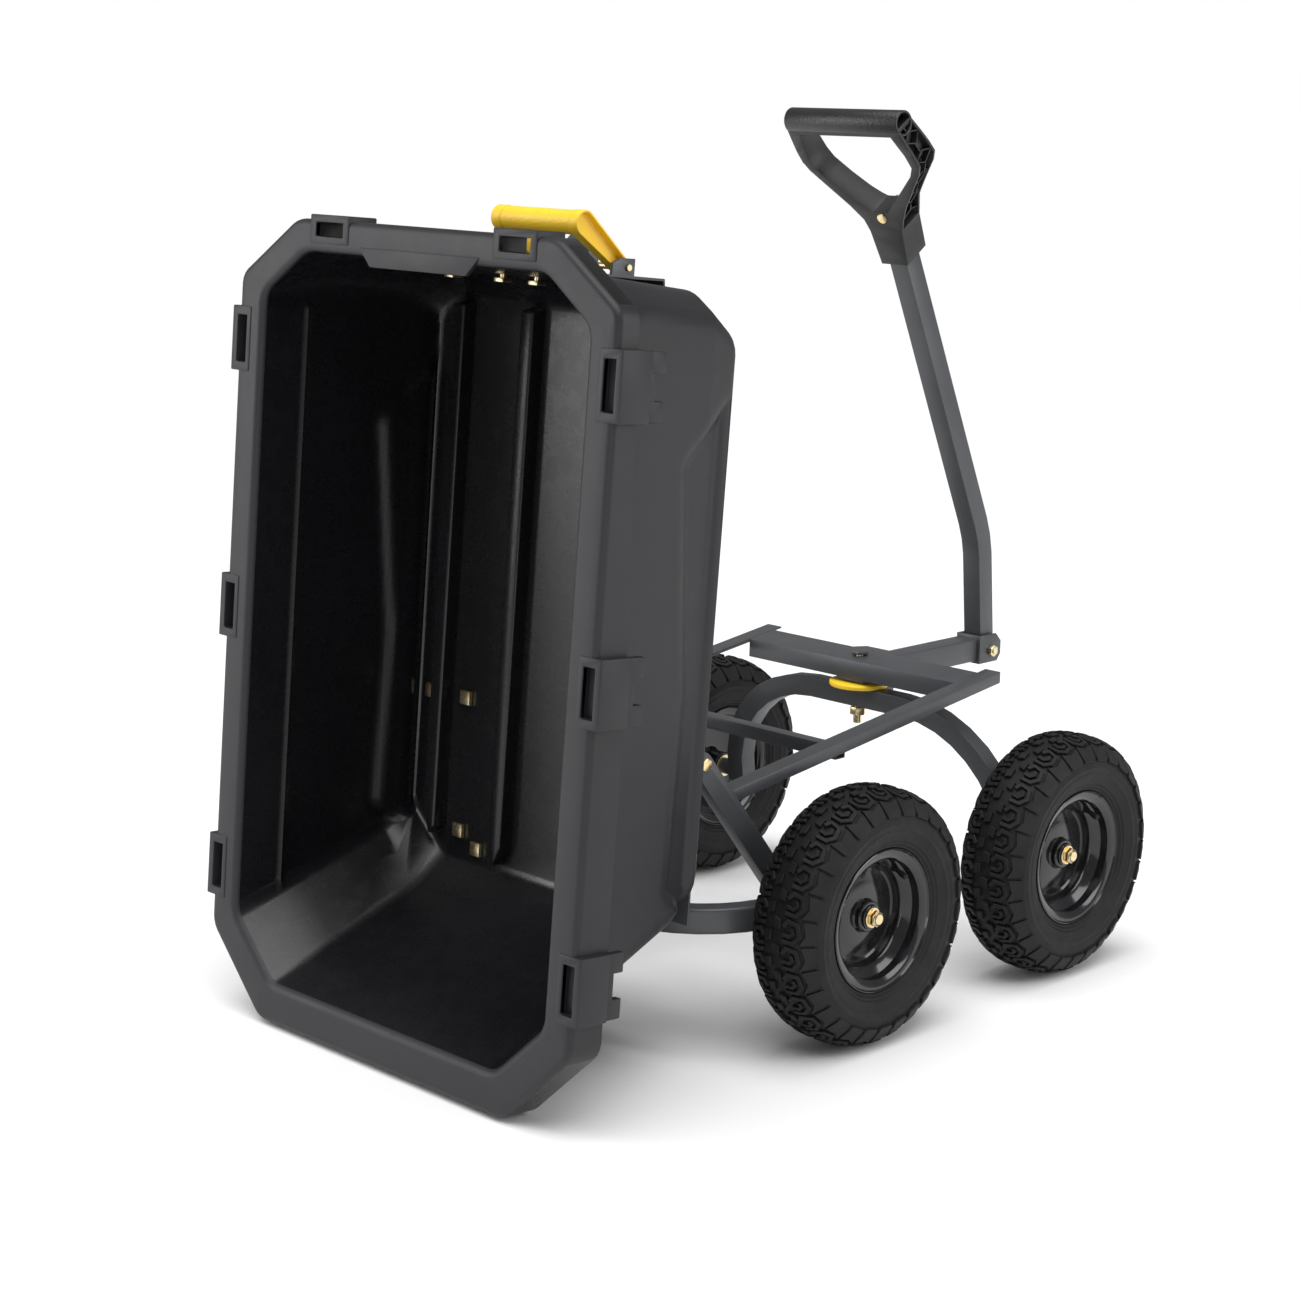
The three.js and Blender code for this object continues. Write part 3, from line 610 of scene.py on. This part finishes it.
def tie_slots():
    """The blocks round the tie slots, the side slots' brackets and the lip at the front."""
    bm = bmesh.new()
    for s, v, long, wide, at_end in slot_places():
        side = math.copysign(1, v)
        opening = (s - long, s + long, v - wide, v + wide)
        if at_end:
            slot_frame(bm, (s - 17, s + 17.5, v - 36, v + 36), opening, 42)
            continue
        near, far = sorted((side * 306, side * 342))
        slot_frame(bm, (s - 40, s + 40, near, far), opening, 46)
        near, far = sorted((side * 330, side * 340))
        for rear, front, depth in SLOT_FEET:
            block(bm, (s + rear, near, -depth), (s + front, far, -44))
        near, far = sorted((side * 286, side * 322))
        block(bm, (s - 34, near, -40), (s + 34, far, -10))
    (rear, rear_half), (front, front_half) = LIP_REAR, LIP_FRONT
    corners = ((rear, -rear_half), (front, -front_half), (front, front_half), (rear, rear_half))
    lip = outline_face(bm, [(s * MM, v * MM, 0.0014) for s, v in corners])
    raised(bm, lip, (0, 0, -0.007))
    rounded(bm, 0.0016, 2, 30)
    bmesh.ops.transform(bm, matrix=TUB_FRAME, verts=bm.verts)
    return new_piece("tub_tie_slots", bm, ["tub_outside"], "tub")


def floor_end(v):
    """Where the floor ends at the rear at a distance across it, with its corners cut off."""
    return 0.86 * max(0, abs(v) - 187) - 652


def floor_ribs(height):
    """Long ribs along the floor, pointed where they meet the rear ramp."""
    bm = bmesh.new()
    base = (3 - TUB_DEPTH) * MM
    for v in RIBS:
        front = [(RIB_FRONT, w) for w in (-RIB_HALF, RIB_HALF)]
        rear = [(floor_end(v + w) + RIB_POINT, w) for w in (RIB_HALF, -RIB_HALF)]
        points = [(floor_end(v), 0), rear[1], *front, rear[0]]
        foot = outline_face(bm, [(s * MM, (v + w) * MM, base) for s, w in points])
        top = raised(bm, foot, (0, 0, height + 0.003))
        place = Matrix.Translation(-top.calc_center_median())
        bmesh.ops.scale(bm, vec=(0.99, 0.72, 1), verts=top.verts, space=place)
    rounded(bm, 0.003, 3, 20)
    bmesh.ops.transform(bm, matrix=TUB_FRAME, verts=bm.verts)
    # the ribs take the tub's inside plastic, whose colour holds painted shade
    return new_piece("tub_floor_ribs", bm, ["tub_inside"], "tub")


class CART_OT_tub(bpy.types.Operator):
    """Make the moulded tub with its skirt, shoulder, tie slots and floor ribs"""

    bl_idname = "cart.tub"
    bl_label = "Tub"

    def execute(self, context):
        sizes = context.scene.cart_sizes
        bm = tub_sheet()
        for face in bm.faces:
            centre = face.calc_center_median()
            # faces inside the tub get the darker copy of the plastic, with painted shade
            inside = centre.z < -0.008 and abs(centre.y) < 0.3 and centre.x < 0.12
            face.material_index = 2 if inside else 0
        bmesh.ops.transform(bm, matrix=TUB_FRAME, verts=bm.verts)
        looks = ["tub_outside", "tub_outside", "tub_inside", "tub_outside"]
        tub = finished("tub_moulding", bm, looks, "tub", ["tub_shell"], 32)
        wall = tub.modifiers.new("wall", "SOLIDIFY")
        wall.thickness = sizes.tub_wall
        wall.offset = -1
        wall.use_even_offset = False
        wall.material_offset = 1
        wall.material_offset_rim = 0
        tie_slots()
        floor_ribs(sizes.rib_height)
        return {"FINISHED"}


class CART_OT_tub_hardware(bpy.types.Operator):
    """Make the tub's hinge plates, front bracket, pin and square-headed bolts"""

    bl_idname = "cart.tub_hardware"
    bl_label = "Tub hardware"

    def execute(self, context):
        sizes = context.scene.cart_sizes
        for node in BODY_OF:
            if node.startswith(("floor_bolt", "front_bolt")) or node == "release_pin":
                refined(node, "yellow_zinc", ZINC_CORNER)
            elif node.startswith("hinge_plate") or node in ("front_bracket", "latch_hook"):
                refined(node, "frame_powder_coat", sizes.plate_corner)
        return {"FINISHED"}


# ------------------------------------------------------------------ frame, axles, steering
class CART_OT_frame(bpy.types.Operator):
    """Make the steel frame: rails, cross members, struts, rear bar and hinge bolts"""

    bl_idname = "cart.frame"
    bl_label = "Frame"

    def execute(self, context):
        sizes = context.scene.cart_sizes
        for node, body in BODY_OF.items():
            if body != "frame" or node.startswith("axle_nut"):
                continue
            if node.startswith("hinge_bolt"):
                refined(node, "yellow_zinc", ZINC_CORNER)
            elif node == "rear_axle_bar":
                refined(node, "frame_powder_coat", sizes.steel_corner * 1.6, 4, 0.015)
            else:
                refined(node, "frame_powder_coat", sizes.plate_corner)
        return {"FINISHED"}


class CART_OT_steering(bpy.types.Operator):
    """Make the front arch, steering ring and block, kingpin, tongue and clevis"""

    bl_idname = "cart.steering"
    bl_label = "Steering"

    def execute(self, context):
        sizes = context.scene.cart_sizes
        refined("front_arch", "frame_powder_coat", sizes.steel_corner * 1.6, 4, 0.015)
        for node in ("steering_block", "tongue"):
            refined(node, "frame_powder_coat", sizes.steel_corner * 0.7, 3)
        refined("clevis", "frame_powder_coat", sizes.plate_corner)
        for node in ("kingpin_nut", "handle_pivot_bolt", "handle_pivot_nut"):
            refined(node, "yellow_zinc", ZINC_CORNER)
        # the kingpin's head is painted over with the frame
        kingpin = refined("kingpin", "yellow_zinc", ZINC_CORNER)
        kingpin.data.materials.append(material("frame_powder_coat"))
        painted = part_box("front_cross_member")[1].z - 0.005
        for face in kingpin.data.polygons:
            face.material_index = 1 if face.center.z > painted else 0
        refined("steering_ring", "yellow_smooth", 0.0018, 3, 0.0)
        return {"FINISHED"}


# ------------------------------------------------------------------ wheels
CASING = 160.6
CROWN = ((CASING, 0), (CASING, 27), (154.5, 45.5), (128, 48.6))
SIDEWALL = ((128, 48.6), (113, 48.8), (101, 43.5), (91.2, 35.6))
TREAD_REACH = 66


def bezier(points, t):
    (ar, ay), (br, by), (cr, cy), (dr, dy) = points
    a, b, c, d = (1 - t) ** 3, 3 * (1 - t) ** 2 * t, 3 * (1 - t) * t * t, t**3
    return a * ar + b * br + c * cr + d * dr, a * ay + b * by + c * cy + d * dy


def tyre_profile():
    """Closed section of the casing: crown, moulded sidewall rings, bead and liner."""
    crown = [bezier(CROWN, i / 9) for i in range(10)]
    wall = []
    for i in range(1, 15):
        r, y = bezier(SIDEWALL, i / 14)
        ridge = 0.9 if i in (1, 4, 9, 11, 13) else 0
        wall.append((r, y + ridge))
    half = crown + wall + [(90.6, 34.8), (80.2, 31.9), (80.2, 24)]
    inside = [(106, 37), (140, 38), (155, 20)]
    return [(r, -y) for r, y in half[:0:-1]] + half + inside + [(r, -y) for r, y in inside[::-1]]


def on_casing(angle, across, height):
    """A point above the casing: angle round the axle, distance across the crown, height."""
    t = min(1, abs(across) / TREAD_REACH)
    r, y = bezier(CROWN, t)
    r1, y1 = bezier(CROWN, min(1, t + 0.01))
    r0, y0 = bezier(CROWN, max(0, t - 0.01))
    dr, dy = r1 - r0, y1 - y0
    size = math.hypot(dr, dy)
    r += height * dy / size
    y = math.copysign(y - height * dr / size, across)
    return Vector((r * math.sin(angle) * MM, y * MM, -r * math.cos(angle) * MM))


CENTRE_BLOCK = ((1.5, 1.2), (14.5, 1.2), (17, 9.2), (4, 9.2))
OUTER_HOOK = ((30.5, 12), (32, 26), (22.5, 34), (8, 31), (4.5, 18), (12.5, 12.5))
INNER_HOOK = ((21.8, 12.6), (24, 21), (19, 26), (12.5, 24))
SHOULDER_LUG = (
    (2, 37), (8, 38.5), (20, 41.5), (28, 37.5), (34.2, 33.5), (34.2, 55), (31.5, 60), (5, 60), (2, 56),
)
PATTERN_PITCH = 35.5
PATTERN_RADIUS = 163


def tread(bm, centre, pitches, height):
    """One pitch of the pattern, wrapped onto the casing and repeated round the tyre."""
    pitch = 2 * math.pi * PATTERN_RADIUS / pitches
    scale = pitch / PATTERN_PITCH
    shapes = [
        (CENTRE_BLOCK, height), (ribbon(OUTER_HOOK, 5.4), height),
        (ribbon(INNER_HOOK, 4.6), height), (SHOULDER_LUG, height * 0.82),
    ]
    unit = bmesh.new()
    for side, shift in ((1, 0), (-1, 0.5)):
        for outline, rise in shapes:
            foot = outline_face(unit, [(u * scale + shift * pitch, side * v, -2.0) for u, v in outline])
            top = raised(unit, foot, (0, 0, rise / MM + 2.0))
            bevelled(unit, list(top.edges), 0.7, 1)
    for vert in unit.verts:
        u, v, h = vert.co
        vert.co = centre + on_casing(u / pitch * 2 * math.pi / pitches, v, h)
    bmesh.ops.spin(
        unit, geom=[*unit.verts, *unit.edges, *unit.faces], cent=centre, axis=(0, 1, 0), dvec=(0, 0, 0),
        angle=2 * math.pi * (pitches - 1) / pitches, steps=pitches - 1, use_duplicate=True, use_merge=False,
    )
    mesh = bpy.data.meshes.new("tread")
    unit.to_mesh(mesh)
    unit.free()
    bm.from_mesh(mesh)
    bpy.data.meshes.remove(mesh)


class CART_OT_tyres(bpy.types.Operator):
    """Make the four pneumatic tyres with their block tread"""

    bl_idname = "cart.tyres"
    bl_label = "Tyres"

    def execute(self, context):
        sizes = context.scene.cart_sizes
        for wheel in WHEELS:
            centre = middle(f"tyre_{wheel}")
            bm = bmesh.new()
            spun(bm, tyre_profile(), centre, 96)
            tread(bm, centre, sizes.tread_pitches, sizes.tread_height)
            new_piece(
                f"tyre_{wheel}_moulded", bm, ["tyre_rubber"], f"wheel_{wheel}", [f"tyre_{wheel}"], 28
            )
        return {"FINISHED"}


# sections of the rim as (radius, distance out): hub and disc seen from inside, one side of the
# barrel from the disc over the flange to the bead seat, and disc and hub seen from outside
DISC_INSIDE = (
    (9, -34), (18.5, -34), (20, -32.5), (20, -8), (24, -4.2), (58, -4), (62.5, -6), (63.6, -14),
)
BARREL = (
    (76.3, 22.5), (77.3, 33), (81, 36), (88.5, 37.2), (90.2, 39.4), (91.6, 38.8), (91.2, 36.2),
    (83, 34), (79.6, 31), (79.4, 20), (66.5, 12),
)
DISC_OUTSIDE = (
    (65.4, 15.5), (63.4, 12), (62, 2.5), (59.5, 0.4), (54, 0.8), (42, 4.2), (30, 6.5), (22, 7),
    (20, 9), (20, 15), (18.6, 16.5), (16, 16.8), (15.4, 19.4), (14, 20), (9, 20),
)
RIM_SECTION = (*DISC_INSIDE, *[(r, -y) for r, y in BARREL], *BARREL[::-1], *DISC_OUTSIDE)
# stretches of a valve stem: start and end as shares of its length, radius at each
STEM = (
    (0, 0.16, 6.2, 5.2), (0.16, 0.30, 4.4, 3.4), (0.30, 0.62, 3.1, 3.1), (0.62, 0.95, 4.1, 4.0),
    (0.95, 1.0, 4.0, 2.9),
)


def valve_stem(bm, centre, side):
    """Rubber stem with its cap, standing on the slope of the rim."""
    turn = Matrix.Rotation(-52 * RAD, 4, "Y")
    base = Vector((71, side * 15, 0)) * MM
    tip = Vector((62, side * 41, 0)) * MM
    run = tip - base
    for start, end, wide, narrow in STEM:
        place = Matrix.Translation(centre) @ turn @ Matrix.Translation(base + run * (start + end) / 2)
        place = place @ run.to_track_quat("Z", "Y").to_matrix().to_4x4()
        bmesh.ops.create_cone(
            bm, cap_ends=True, cap_tris=False, segments=20, radius1=wide * MM, radius2=narrow * MM,
            depth=run.length * (end - start), matrix=place,
        )


class CART_OT_rims(bpy.types.Operator):
    """Make the pressed steel rims with their hubs, and the valve stems"""

    bl_idname = "cart.rims"
    bl_label = "Rims"

    def execute(self, context):
        for wheel in WHEELS:
            side = side_of(wheel)
            centre = middle(f"tyre_{wheel}")
            bm = bmesh.new()
            spun(bm, [(r, side * y) for r, y in RIM_SECTION], centre, 72)
            body = f"wheel_{wheel}"
            new_piece(f"rim_{wheel}_pressed", bm, ["rim_enamel"], body, [f"rim_{wheel}"], 40)
            stem = bmesh.new()
            valve_stem(stem, centre, side)
            new_piece(f"valve_stem_{wheel}", stem, ["tyre_rubber"], body)
        return {"FINISHED"}


# turned parts on the axle: start and end out from the wheel's middle, radius, corner, bore
NUT_WASHER = (20.4, 22.6, 13.4, 0.7, 8.3)
STUB_COLLAR = (29, 31.4, 8.9, 0.8, 7.6)
STUB_END = (31, 32.6, 7.4, 1.0, 0.4)
HUB_WASHER = (-36.6, -34.4, 17, 0.5, 12.2)
# the axle nut: start and end out from the wheel's middle, radius across its corners
AXLE_NUT = (22.4, 29.5, 11)


def turned(bm, centre, side, start, end, radius, corner, bore):
    """A turned disc or washer on the axle, with its corners cut."""
    profile = [
        (bore, start), (radius - corner, start), (radius, start + corner), (radius, end - corner),
        (radius - corner, end), (bore, end),
    ]
    spun(bm, [(r, side * y) for r, y in profile], centre, 32)


def hexagon(bm, centre, side, start, end, radius):
    """A six-sided block on the axle."""
    first, last = [centre + Vector((0, side * y * MM, 0)) for y in (start, end)]
    rod(bm, first, last, radius * MM, 6)


class CART_OT_hub_hardware(bpy.types.Operator):
    """Make the axle nuts, their washers, the stub ends and the inner hub washers"""

    bl_idname = "cart.hub_hardware"
    bl_label = "Hub hardware"

    def execute(self, context):
        for wheel in WHEELS:
            side = side_of(wheel)
            centre = middle(f"tyre_{wheel}")
            bm = bmesh.new()
            hexagon(bm, centre, side, *AXLE_NUT)
            rounded(bm, ZINC_CORNER, 2, 30)
            for part in (NUT_WASHER, STUB_COLLAR, STUB_END):
                turned(bm, centre, side, *part)
            node = f"axle_nut_{wheel}"
            new_piece(f"{node}_finished", bm, ["yellow_zinc"], BODY_OF[node], [node])
            washer = bmesh.new()
            turned(washer, centre, side, *HUB_WASHER)
            new_piece(f"hub_washer_{wheel}", washer, ["yellow_zinc"], BODY_OF[node])
        return {"FINISHED"}


# ------------------------------------------------------------------ handle and grip
GRIP_FOOT = (421, 965)
GRIP_HEAD = (303, 1129)
GRIP_LENGTH = math.dist(GRIP_FOOT, GRIP_HEAD)
GRIP_LEAN = math.atan2(GRIP_HEAD[0] - GRIP_FOOT[0], GRIP_HEAD[1] - GRIP_FOOT[1])
GRIP_FRAME = Matrix.Translation(at(GRIP_FOOT[0], 0, GRIP_FOOT[1])) @ Matrix.Rotation(GRIP_LEAN, 4, "Y")
GRIP_OUTLINE = (
    (-23, -21), (23, -21), (28, 28), (34, 45), (49, 68), (95, 124), (102, 138), (102, 156), (97, 202),
)
GRIP_GAP = ((-13, 58), (13, 58), (80, 122), (88, 136), (87, 158), (79, 189))
BAR_RADIUS = 17
BAR_HALF = 98
BOLT_HEIGHT = 49
BOLT_RADIUS = 7.6
RIB_WALL = 1.6
# height up the grip, and how far its rear and front faces lie from the bar's middle
GRIP_DEPTH = (
    (-25, -21, 25), (45, -9, 35), (70, -9, 27), (98, -9, 27), (136, -9, 31), (170, -13, 24),
    (GRIP_LENGTH, -16, 16),
)
GRIP_EDGE = [(h, v) for v, h in GRIP_OUTLINE if v > 0]


def grip_bow(height):
    """How far the grip's middle lies forward, and half its depth, at a height up the grip."""
    _, rear, front = between(GRIP_DEPTH, height)
    return (rear + front) / 2, (front - rear) / 2


def arm_outside(height):
    """Half width of the grip at a height."""
    return between(GRIP_EDGE, height)[1]


def grip_body():
    """The grip's frame, bowed to its depth, with its arms hollowed from outside."""
    bm = bmesh.new()
    left = [(-v, h) for v, h in GRIP_OUTLINE[:1:-1]]
    outline = [*GRIP_OUTLINE, *left]
    gap = [*GRIP_GAP, *[(-v, h) for v, h in GRIP_GAP[:1:-1]]]
    loops = []
    for c in (-1, 1):
        for points in (outline, gap):
            loops.append(ring(bm, [(c * MM, v * MM, h * MM) for v, h in points]))
    rear_out, rear_in, front_out, front_in = loops
    bmesh.ops.triangle_fill(bm, edges=rear_out + rear_in, use_beauty=True)
    bmesh.ops.triangle_fill(bm, edges=front_out + front_in, use_beauty=True)
    bmesh.ops.bridge_loops(bm, edges=rear_out + front_out)
    bmesh.ops.bridge_loops(bm, edges=rear_in + front_in)
    for h in range(-8, 208, 12):
        bmesh.ops.bisect_plane(
            bm, geom=[*bm.verts, *bm.edges, *bm.faces], dist=1e-6, plane_co=(0, 0, h * MM),
            plane_no=(0, 0, 1),
        )
    for vert in bm.verts:
        bow, half = grip_bow(vert.co.z / MM)
        vert.co.x = (bow + math.copysign(half, vert.co.x)) * MM
    bmesh.ops.recalc_face_normals(bm, faces=bm.faces)
    outer = [
        face for face in bm.faces
        if abs(face.normal.y) > 0.6 and abs(face.normal.x) < 0.3
        and face.normal.y * face.calc_center_median().y > 0
        and 0.034 < face.calc_center_median().z < 0.205
        and abs(face.calc_center_median().y) / MM > arm_outside(face.calc_center_median().z / MM) - 4
    ]
    for border, depth in ((0.0035, 0), (0.0004, -0.011)):
        bmesh.ops.inset_region(
            bm, faces=outer, thickness=border, depth=depth, use_even_offset=True, use_boundary=True
        )
    return bm


def grip_ribs(bm):
    """Thin walls in a chain of six-sided cells along the outside of each arm."""
    cell = 34
    for _, side in SIDES:
        for start in range(42, 190, cell):
            knots = {
                "a": (start, -1), "b": (start, 1), "c": (start + 9, 0), "d": (start + 22, 0),
                "e": (start + cell, -1), "f": (start + cell, 1),
            }
            for first, second in ("ac", "bc", "cd", "de", "df"):
                rib(bm, side, knots[first], knots[second])


def rib(bm, side, first, second):
    """A thin wall between two knots, each a height and -1, 0 or 1 across the arm."""
    ends = []
    for height, across in (first, second):
        height = min(height, 196)
        bow, half = grip_bow(height)
        ends.append(Vector((bow + across * (half - 2.5), side * (arm_outside(height) - 6.5), height)) * MM)
    start, end = ends
    run = end - start
    turn = run.to_track_quat("Z", "Y").to_matrix().to_4x4()
    place = Matrix.Translation((start + end) / 2) @ turn
    made = bmesh.ops.create_cube(bm, size=1)["verts"]
    outward = turn.to_3x3().inverted() @ Vector((0, side, 0))
    wide, deep = (RIB_WALL, 9) if abs(outward.y) > abs(outward.x) else (9, RIB_WALL)
    bmesh.ops.scale(bm, vec=(wide * MM, deep * MM, run.length), verts=made)
    bmesh.ops.transform(bm, matrix=place, verts=made)


class CART_OT_handle(bpy.types.Operator):
    """Make the bent square pull tube"""

    bl_idname = "cart.handle"
    bl_label = "Handle tube"

    def execute(self, context):
        refined("handle_tube", "frame_powder_coat", context.scene.cart_sizes.steel_corner, 3)
        return {"FINISHED"}


class CART_OT_grip(bpy.types.Operator):
    """Make the pull grip with its textured bar, ribbed arms and bolt"""

    bl_idname = "cart.grip"
    bl_label = "Pull grip"

    def execute(self, context):
        bm = grip_body()
        rounded(bm, 0.0016, 2, 35, 0.004)
        bmesh.ops.transform(bm, matrix=GRIP_FRAME, verts=bm.verts)
        new_piece("pull_grip_frame", bm, ["grip_smooth"], "handle", ["handle_grip"], 35)
        ribs = bmesh.new()
        grip_ribs(ribs)
        bmesh.ops.transform(ribs, matrix=GRIP_FRAME, verts=ribs.verts)
        new_piece("pull_grip_ribs", ribs, ["grip_smooth"], "handle")
        bar = bmesh.new()
        top = GRIP_LENGTH * MM
        rod(bar, (0, -BAR_HALF * MM, top), (0, BAR_HALF * MM, top), BAR_RADIUS * MM, 48)
        for cap in [face for face in bar.faces if len(face.verts) > 8]:
            bmesh.ops.inset_individual(bar, faces=[cap], thickness=0.0032, depth=0)
            bmesh.ops.inset_individual(bar, faces=[cap], thickness=0.001, depth=-0.018)
        rounded(bar, 0.0012, 2, 60)
        bmesh.ops.transform(bar, matrix=GRIP_FRAME, verts=bar.verts)
        new_piece("pull_grip_bar", bar, ["grip_hatched"], "handle", (), 40)
        bolt = bmesh.new()
        bow, half = grip_bow(BOLT_HEIGHT)
        half += 2.2
        ends = [Vector((bow + way * half, 0, BOLT_HEIGHT)) * MM for way in (-1, 1)]
        rod(bolt, *ends, BOLT_RADIUS * MM, 32)
        rounded(bolt, 0.0012, 2, 60)
        bmesh.ops.transform(bolt, matrix=GRIP_FRAME, verts=bolt.verts)
        new_piece("pull_grip_bolt", bolt, ["yellow_zinc"], "handle")
        return {"FINISHED"}


# ------------------------------------------------------------------ release handle
def arm_outline(v):
    """Outline of one arm of the release handle, round at the pin and at the bar."""
    (s0, z0), (s1, z1) = RELEASE_PIVOT, RELEASE_BAR
    turn = math.atan2(z1 - z0, s1 - s0)
    points = []
    for s, z, radius, start in ((s0, z0, 9.5, turn + math.pi / 2), (s1, z1, 15.5, turn - math.pi / 2)):
        for i in range(13):
            angle = start + math.pi * i / 12
            points.append(Vector((s + radius * math.cos(angle), v, z + radius * math.sin(angle))) * MM)
    return points


class CART_OT_release(bpy.types.Operator):
    """Make the yellow release handle"""

    bl_idname = "cart.release"
    bl_label = "Release handle"

    def execute(self, context):
        bm = bmesh.new()
        for _, side in SIDES:
            inner = outline_face(bm, arm_outline(side * 59))
            raised(bm, inner, (0, side * 0.016, 0))
        bmesh.ops.recalc_face_normals(bm, faces=bm.faces)
        ends = [face for face in bm.faces if len(face.verts) > 8]
        caps = [face for face in ends if abs(face.calc_center_median().y) > 0.07]
        for cap in caps:
            bmesh.ops.inset_individual(bm, faces=[cap], thickness=0.0028, depth=0)
            bmesh.ops.inset_individual(bm, faces=[cap], thickness=0.0004, depth=-0.009)
        rounded(bm, 0.0008, 2, 35)
        bmesh.ops.transform(bm, matrix=TUB_FRAME, verts=bm.verts)
        new_piece(
            "release_handle_arms", bm, ["yellow_smooth"], "release_handle",
            ["release_handle"], 35,
        )
        bar = bmesh.new()
        s, z = RELEASE_BAR
        rod(bar, Vector((s, -60, z)) * MM, Vector((s, 60, z)) * MM, 0.0146, 48)
        bmesh.ops.transform(bar, matrix=TUB_FRAME, verts=bar.verts)
        new_piece("release_handle_bar", bar, ["yellow_hatched"], "release_handle", (), 40)
        return {"FINISHED"}


# ------------------------------------------------------------------ stage
CAMERA_PLACE = (-2411.232, -2289.056, 1157.529)
CAMERA_YAW = 44.144
CAMERA_PITCH = 12.057
CAMERA_ROLL = 1.263
CAMERA_LENS = 71.887
# name, place, target, size and power of each soft light, in metres and watts
SOFTBOXES = (
    ("key", (-2.9, 2.6, 1.7), (-0.2, 0, 0.5), (0.9, 2.6), 60),
    ("front", (-3.0, -2.6, 0.5), (0, 0, 0.5), (0.5, 2.2), 14),
    ("side", (1.6, -3.4, 1.9), (0, 0, 0.4), (1.6, 2.4), 55),
)
OVERHEAD_POWER = 3.1
OVERHEAD_AIM = (0.25, 0.12, -1)
# strength of the white surroundings as a light, and as the camera sees them
WORLD_LIGHT, WORLD_SEEN = 0.30, 1.0


def stage_camera():
    """The camera, placed and turned about its own axes."""
    yaw, pitch, roll = CAMERA_YAW * RAD, CAMERA_PITCH * RAD, CAMERA_ROLL * RAD
    ahead = Vector((math.cos(yaw) * math.cos(pitch), math.sin(yaw) * math.cos(pitch), -math.sin(pitch)))
    level = Vector((math.sin(yaw), -math.cos(yaw), 0))
    above = level.cross(ahead)
    right = math.cos(roll) * level + math.sin(roll) * above
    up = -math.sin(roll) * level + math.cos(roll) * above
    data = bpy.data.cameras.new("camera")
    data.lens = CAMERA_LENS
    data.sensor_width = 36
    data.clip_end = 300
    camera = linked("camera", data)
    turn = Matrix((right, up, -ahead)).transposed().to_4x4()
    camera.matrix_world = Matrix.Translation(at(*CAMERA_PLACE)) @ turn
    bpy.context.scene.camera = camera


def aimed(lamp, direction):
    lamp.rotation_euler = Vector(direction).to_track_quat("-Z", "Y").to_euler()


def softbox(name, place, target, size, power):
    data = bpy.data.lights.new(name, "AREA")
    data.shape = "RECTANGLE"
    data.size, data.size_y = size
    data.energy = power
    lamp = linked(name, data)
    lamp.location = place
    aimed(lamp, Vector(target) - Vector(place))


def overhead(power):
    """Broad soft light from above that falls on the whole floor alike."""
    data = bpy.data.lights.new("overhead", "SUN")
    data.energy = power
    data.angle = 60 * RAD
    aimed(linked("overhead", data), OVERHEAD_AIM)


def stage_floor():
    bm = bmesh.new()
    bmesh.ops.create_grid(bm, x_segments=1, y_segments=1, size=60)
    mesh = bpy.data.meshes.new("floor")
    bm.to_mesh(mesh)
    bm.free()
    finish = Finish("pale_floor", (0.86, 0.86, 0.86), {"Roughness": 0.7})
    tone = finish.noise(3, 2)
    finish.vary("Base Color", finish.ramp(tone, (0.2, (0.85, 0.85, 0.85)), (0.8, (0.88, 0.88, 0.88))))
    mesh.materials.append(finish.material)
    floor = linked("floor", mesh)
    floor.location.z = -0.0005


class CART_OT_stage(bpy.types.Operator):
    """Set out the floor, the soft lights and the camera"""

    bl_idname = "cart.stage"
    bl_label = "Stage"

    def execute(self, context):
        stage_camera()
        stage_floor()
        world = bpy.data.worlds.new("studio")
        world.use_nodes = True
        background = world.node_tree.nodes["Background"]
        background.inputs["Color"].default_value = (1, 1, 1, 1)
        path = world.node_tree.nodes.new("ShaderNodeLightPath")
        strength = world.node_tree.nodes.new("ShaderNodeMapRange")
        strength.inputs["To Min"].default_value = WORLD_LIGHT
        strength.inputs["To Max"].default_value = WORLD_SEEN
        world.node_tree.links.new(path.outputs["Is Camera Ray"], strength.inputs["Value"])
        world.node_tree.links.new(strength.outputs["Result"], background.inputs["Strength"])
        context.scene.world = world
        overhead(OVERHEAD_POWER)
        for lamp in SOFTBOXES:
            softbox(*lamp)
        context.scene.view_settings.view_transform = "Standard"
        return {"FINISHED"}


# ------------------------------------------------------------------ panel and registration
OPERATORS = (
    CART_OT_tub, CART_OT_tub_hardware, CART_OT_frame, CART_OT_steering, CART_OT_tyres, CART_OT_rims,
    CART_OT_hub_hardware, CART_OT_handle, CART_OT_grip, CART_OT_release, CART_OT_stage,
)


class CART_PT_panel(bpy.types.Panel):
    """Buttons that build the cart piece by piece"""

    bl_idname = "CART_PT_panel"
    bl_label = "Dump Cart"
    bl_space_type = "VIEW_3D"
    bl_region_type = "UI"
    bl_category = "Dump Cart"

    def draw(self, context):
        for group in (context.scene.cart_sizes, context.scene.cart_colours):
            for name in group.__annotations__:
                self.layout.prop(group, name)
        for operator in OPERATORS:
            self.layout.operator(operator.bl_idname)


CLASSES = (CartSizes, CartColours, *OPERATORS, CART_PT_panel)


def register():
    for cls in CLASSES:
        bpy.utils.register_class(cls)
    bpy.types.Scene.cart_sizes = PointerProperty(type=CartSizes)
    bpy.types.Scene.cart_colours = PointerProperty(type=CartColours)


def unregister():
    del bpy.types.Scene.cart_colours
    del bpy.types.Scene.cart_sizes
    for cls in reversed(CLASSES):
        bpy.utils.unregister_class(cls)


def main():
    register()
    for operator in OPERATORS:
        _, name = operator.bl_idname.split(".")
        getattr(bpy.ops.cart, name)()


if __name__ == "__main__":
    main()
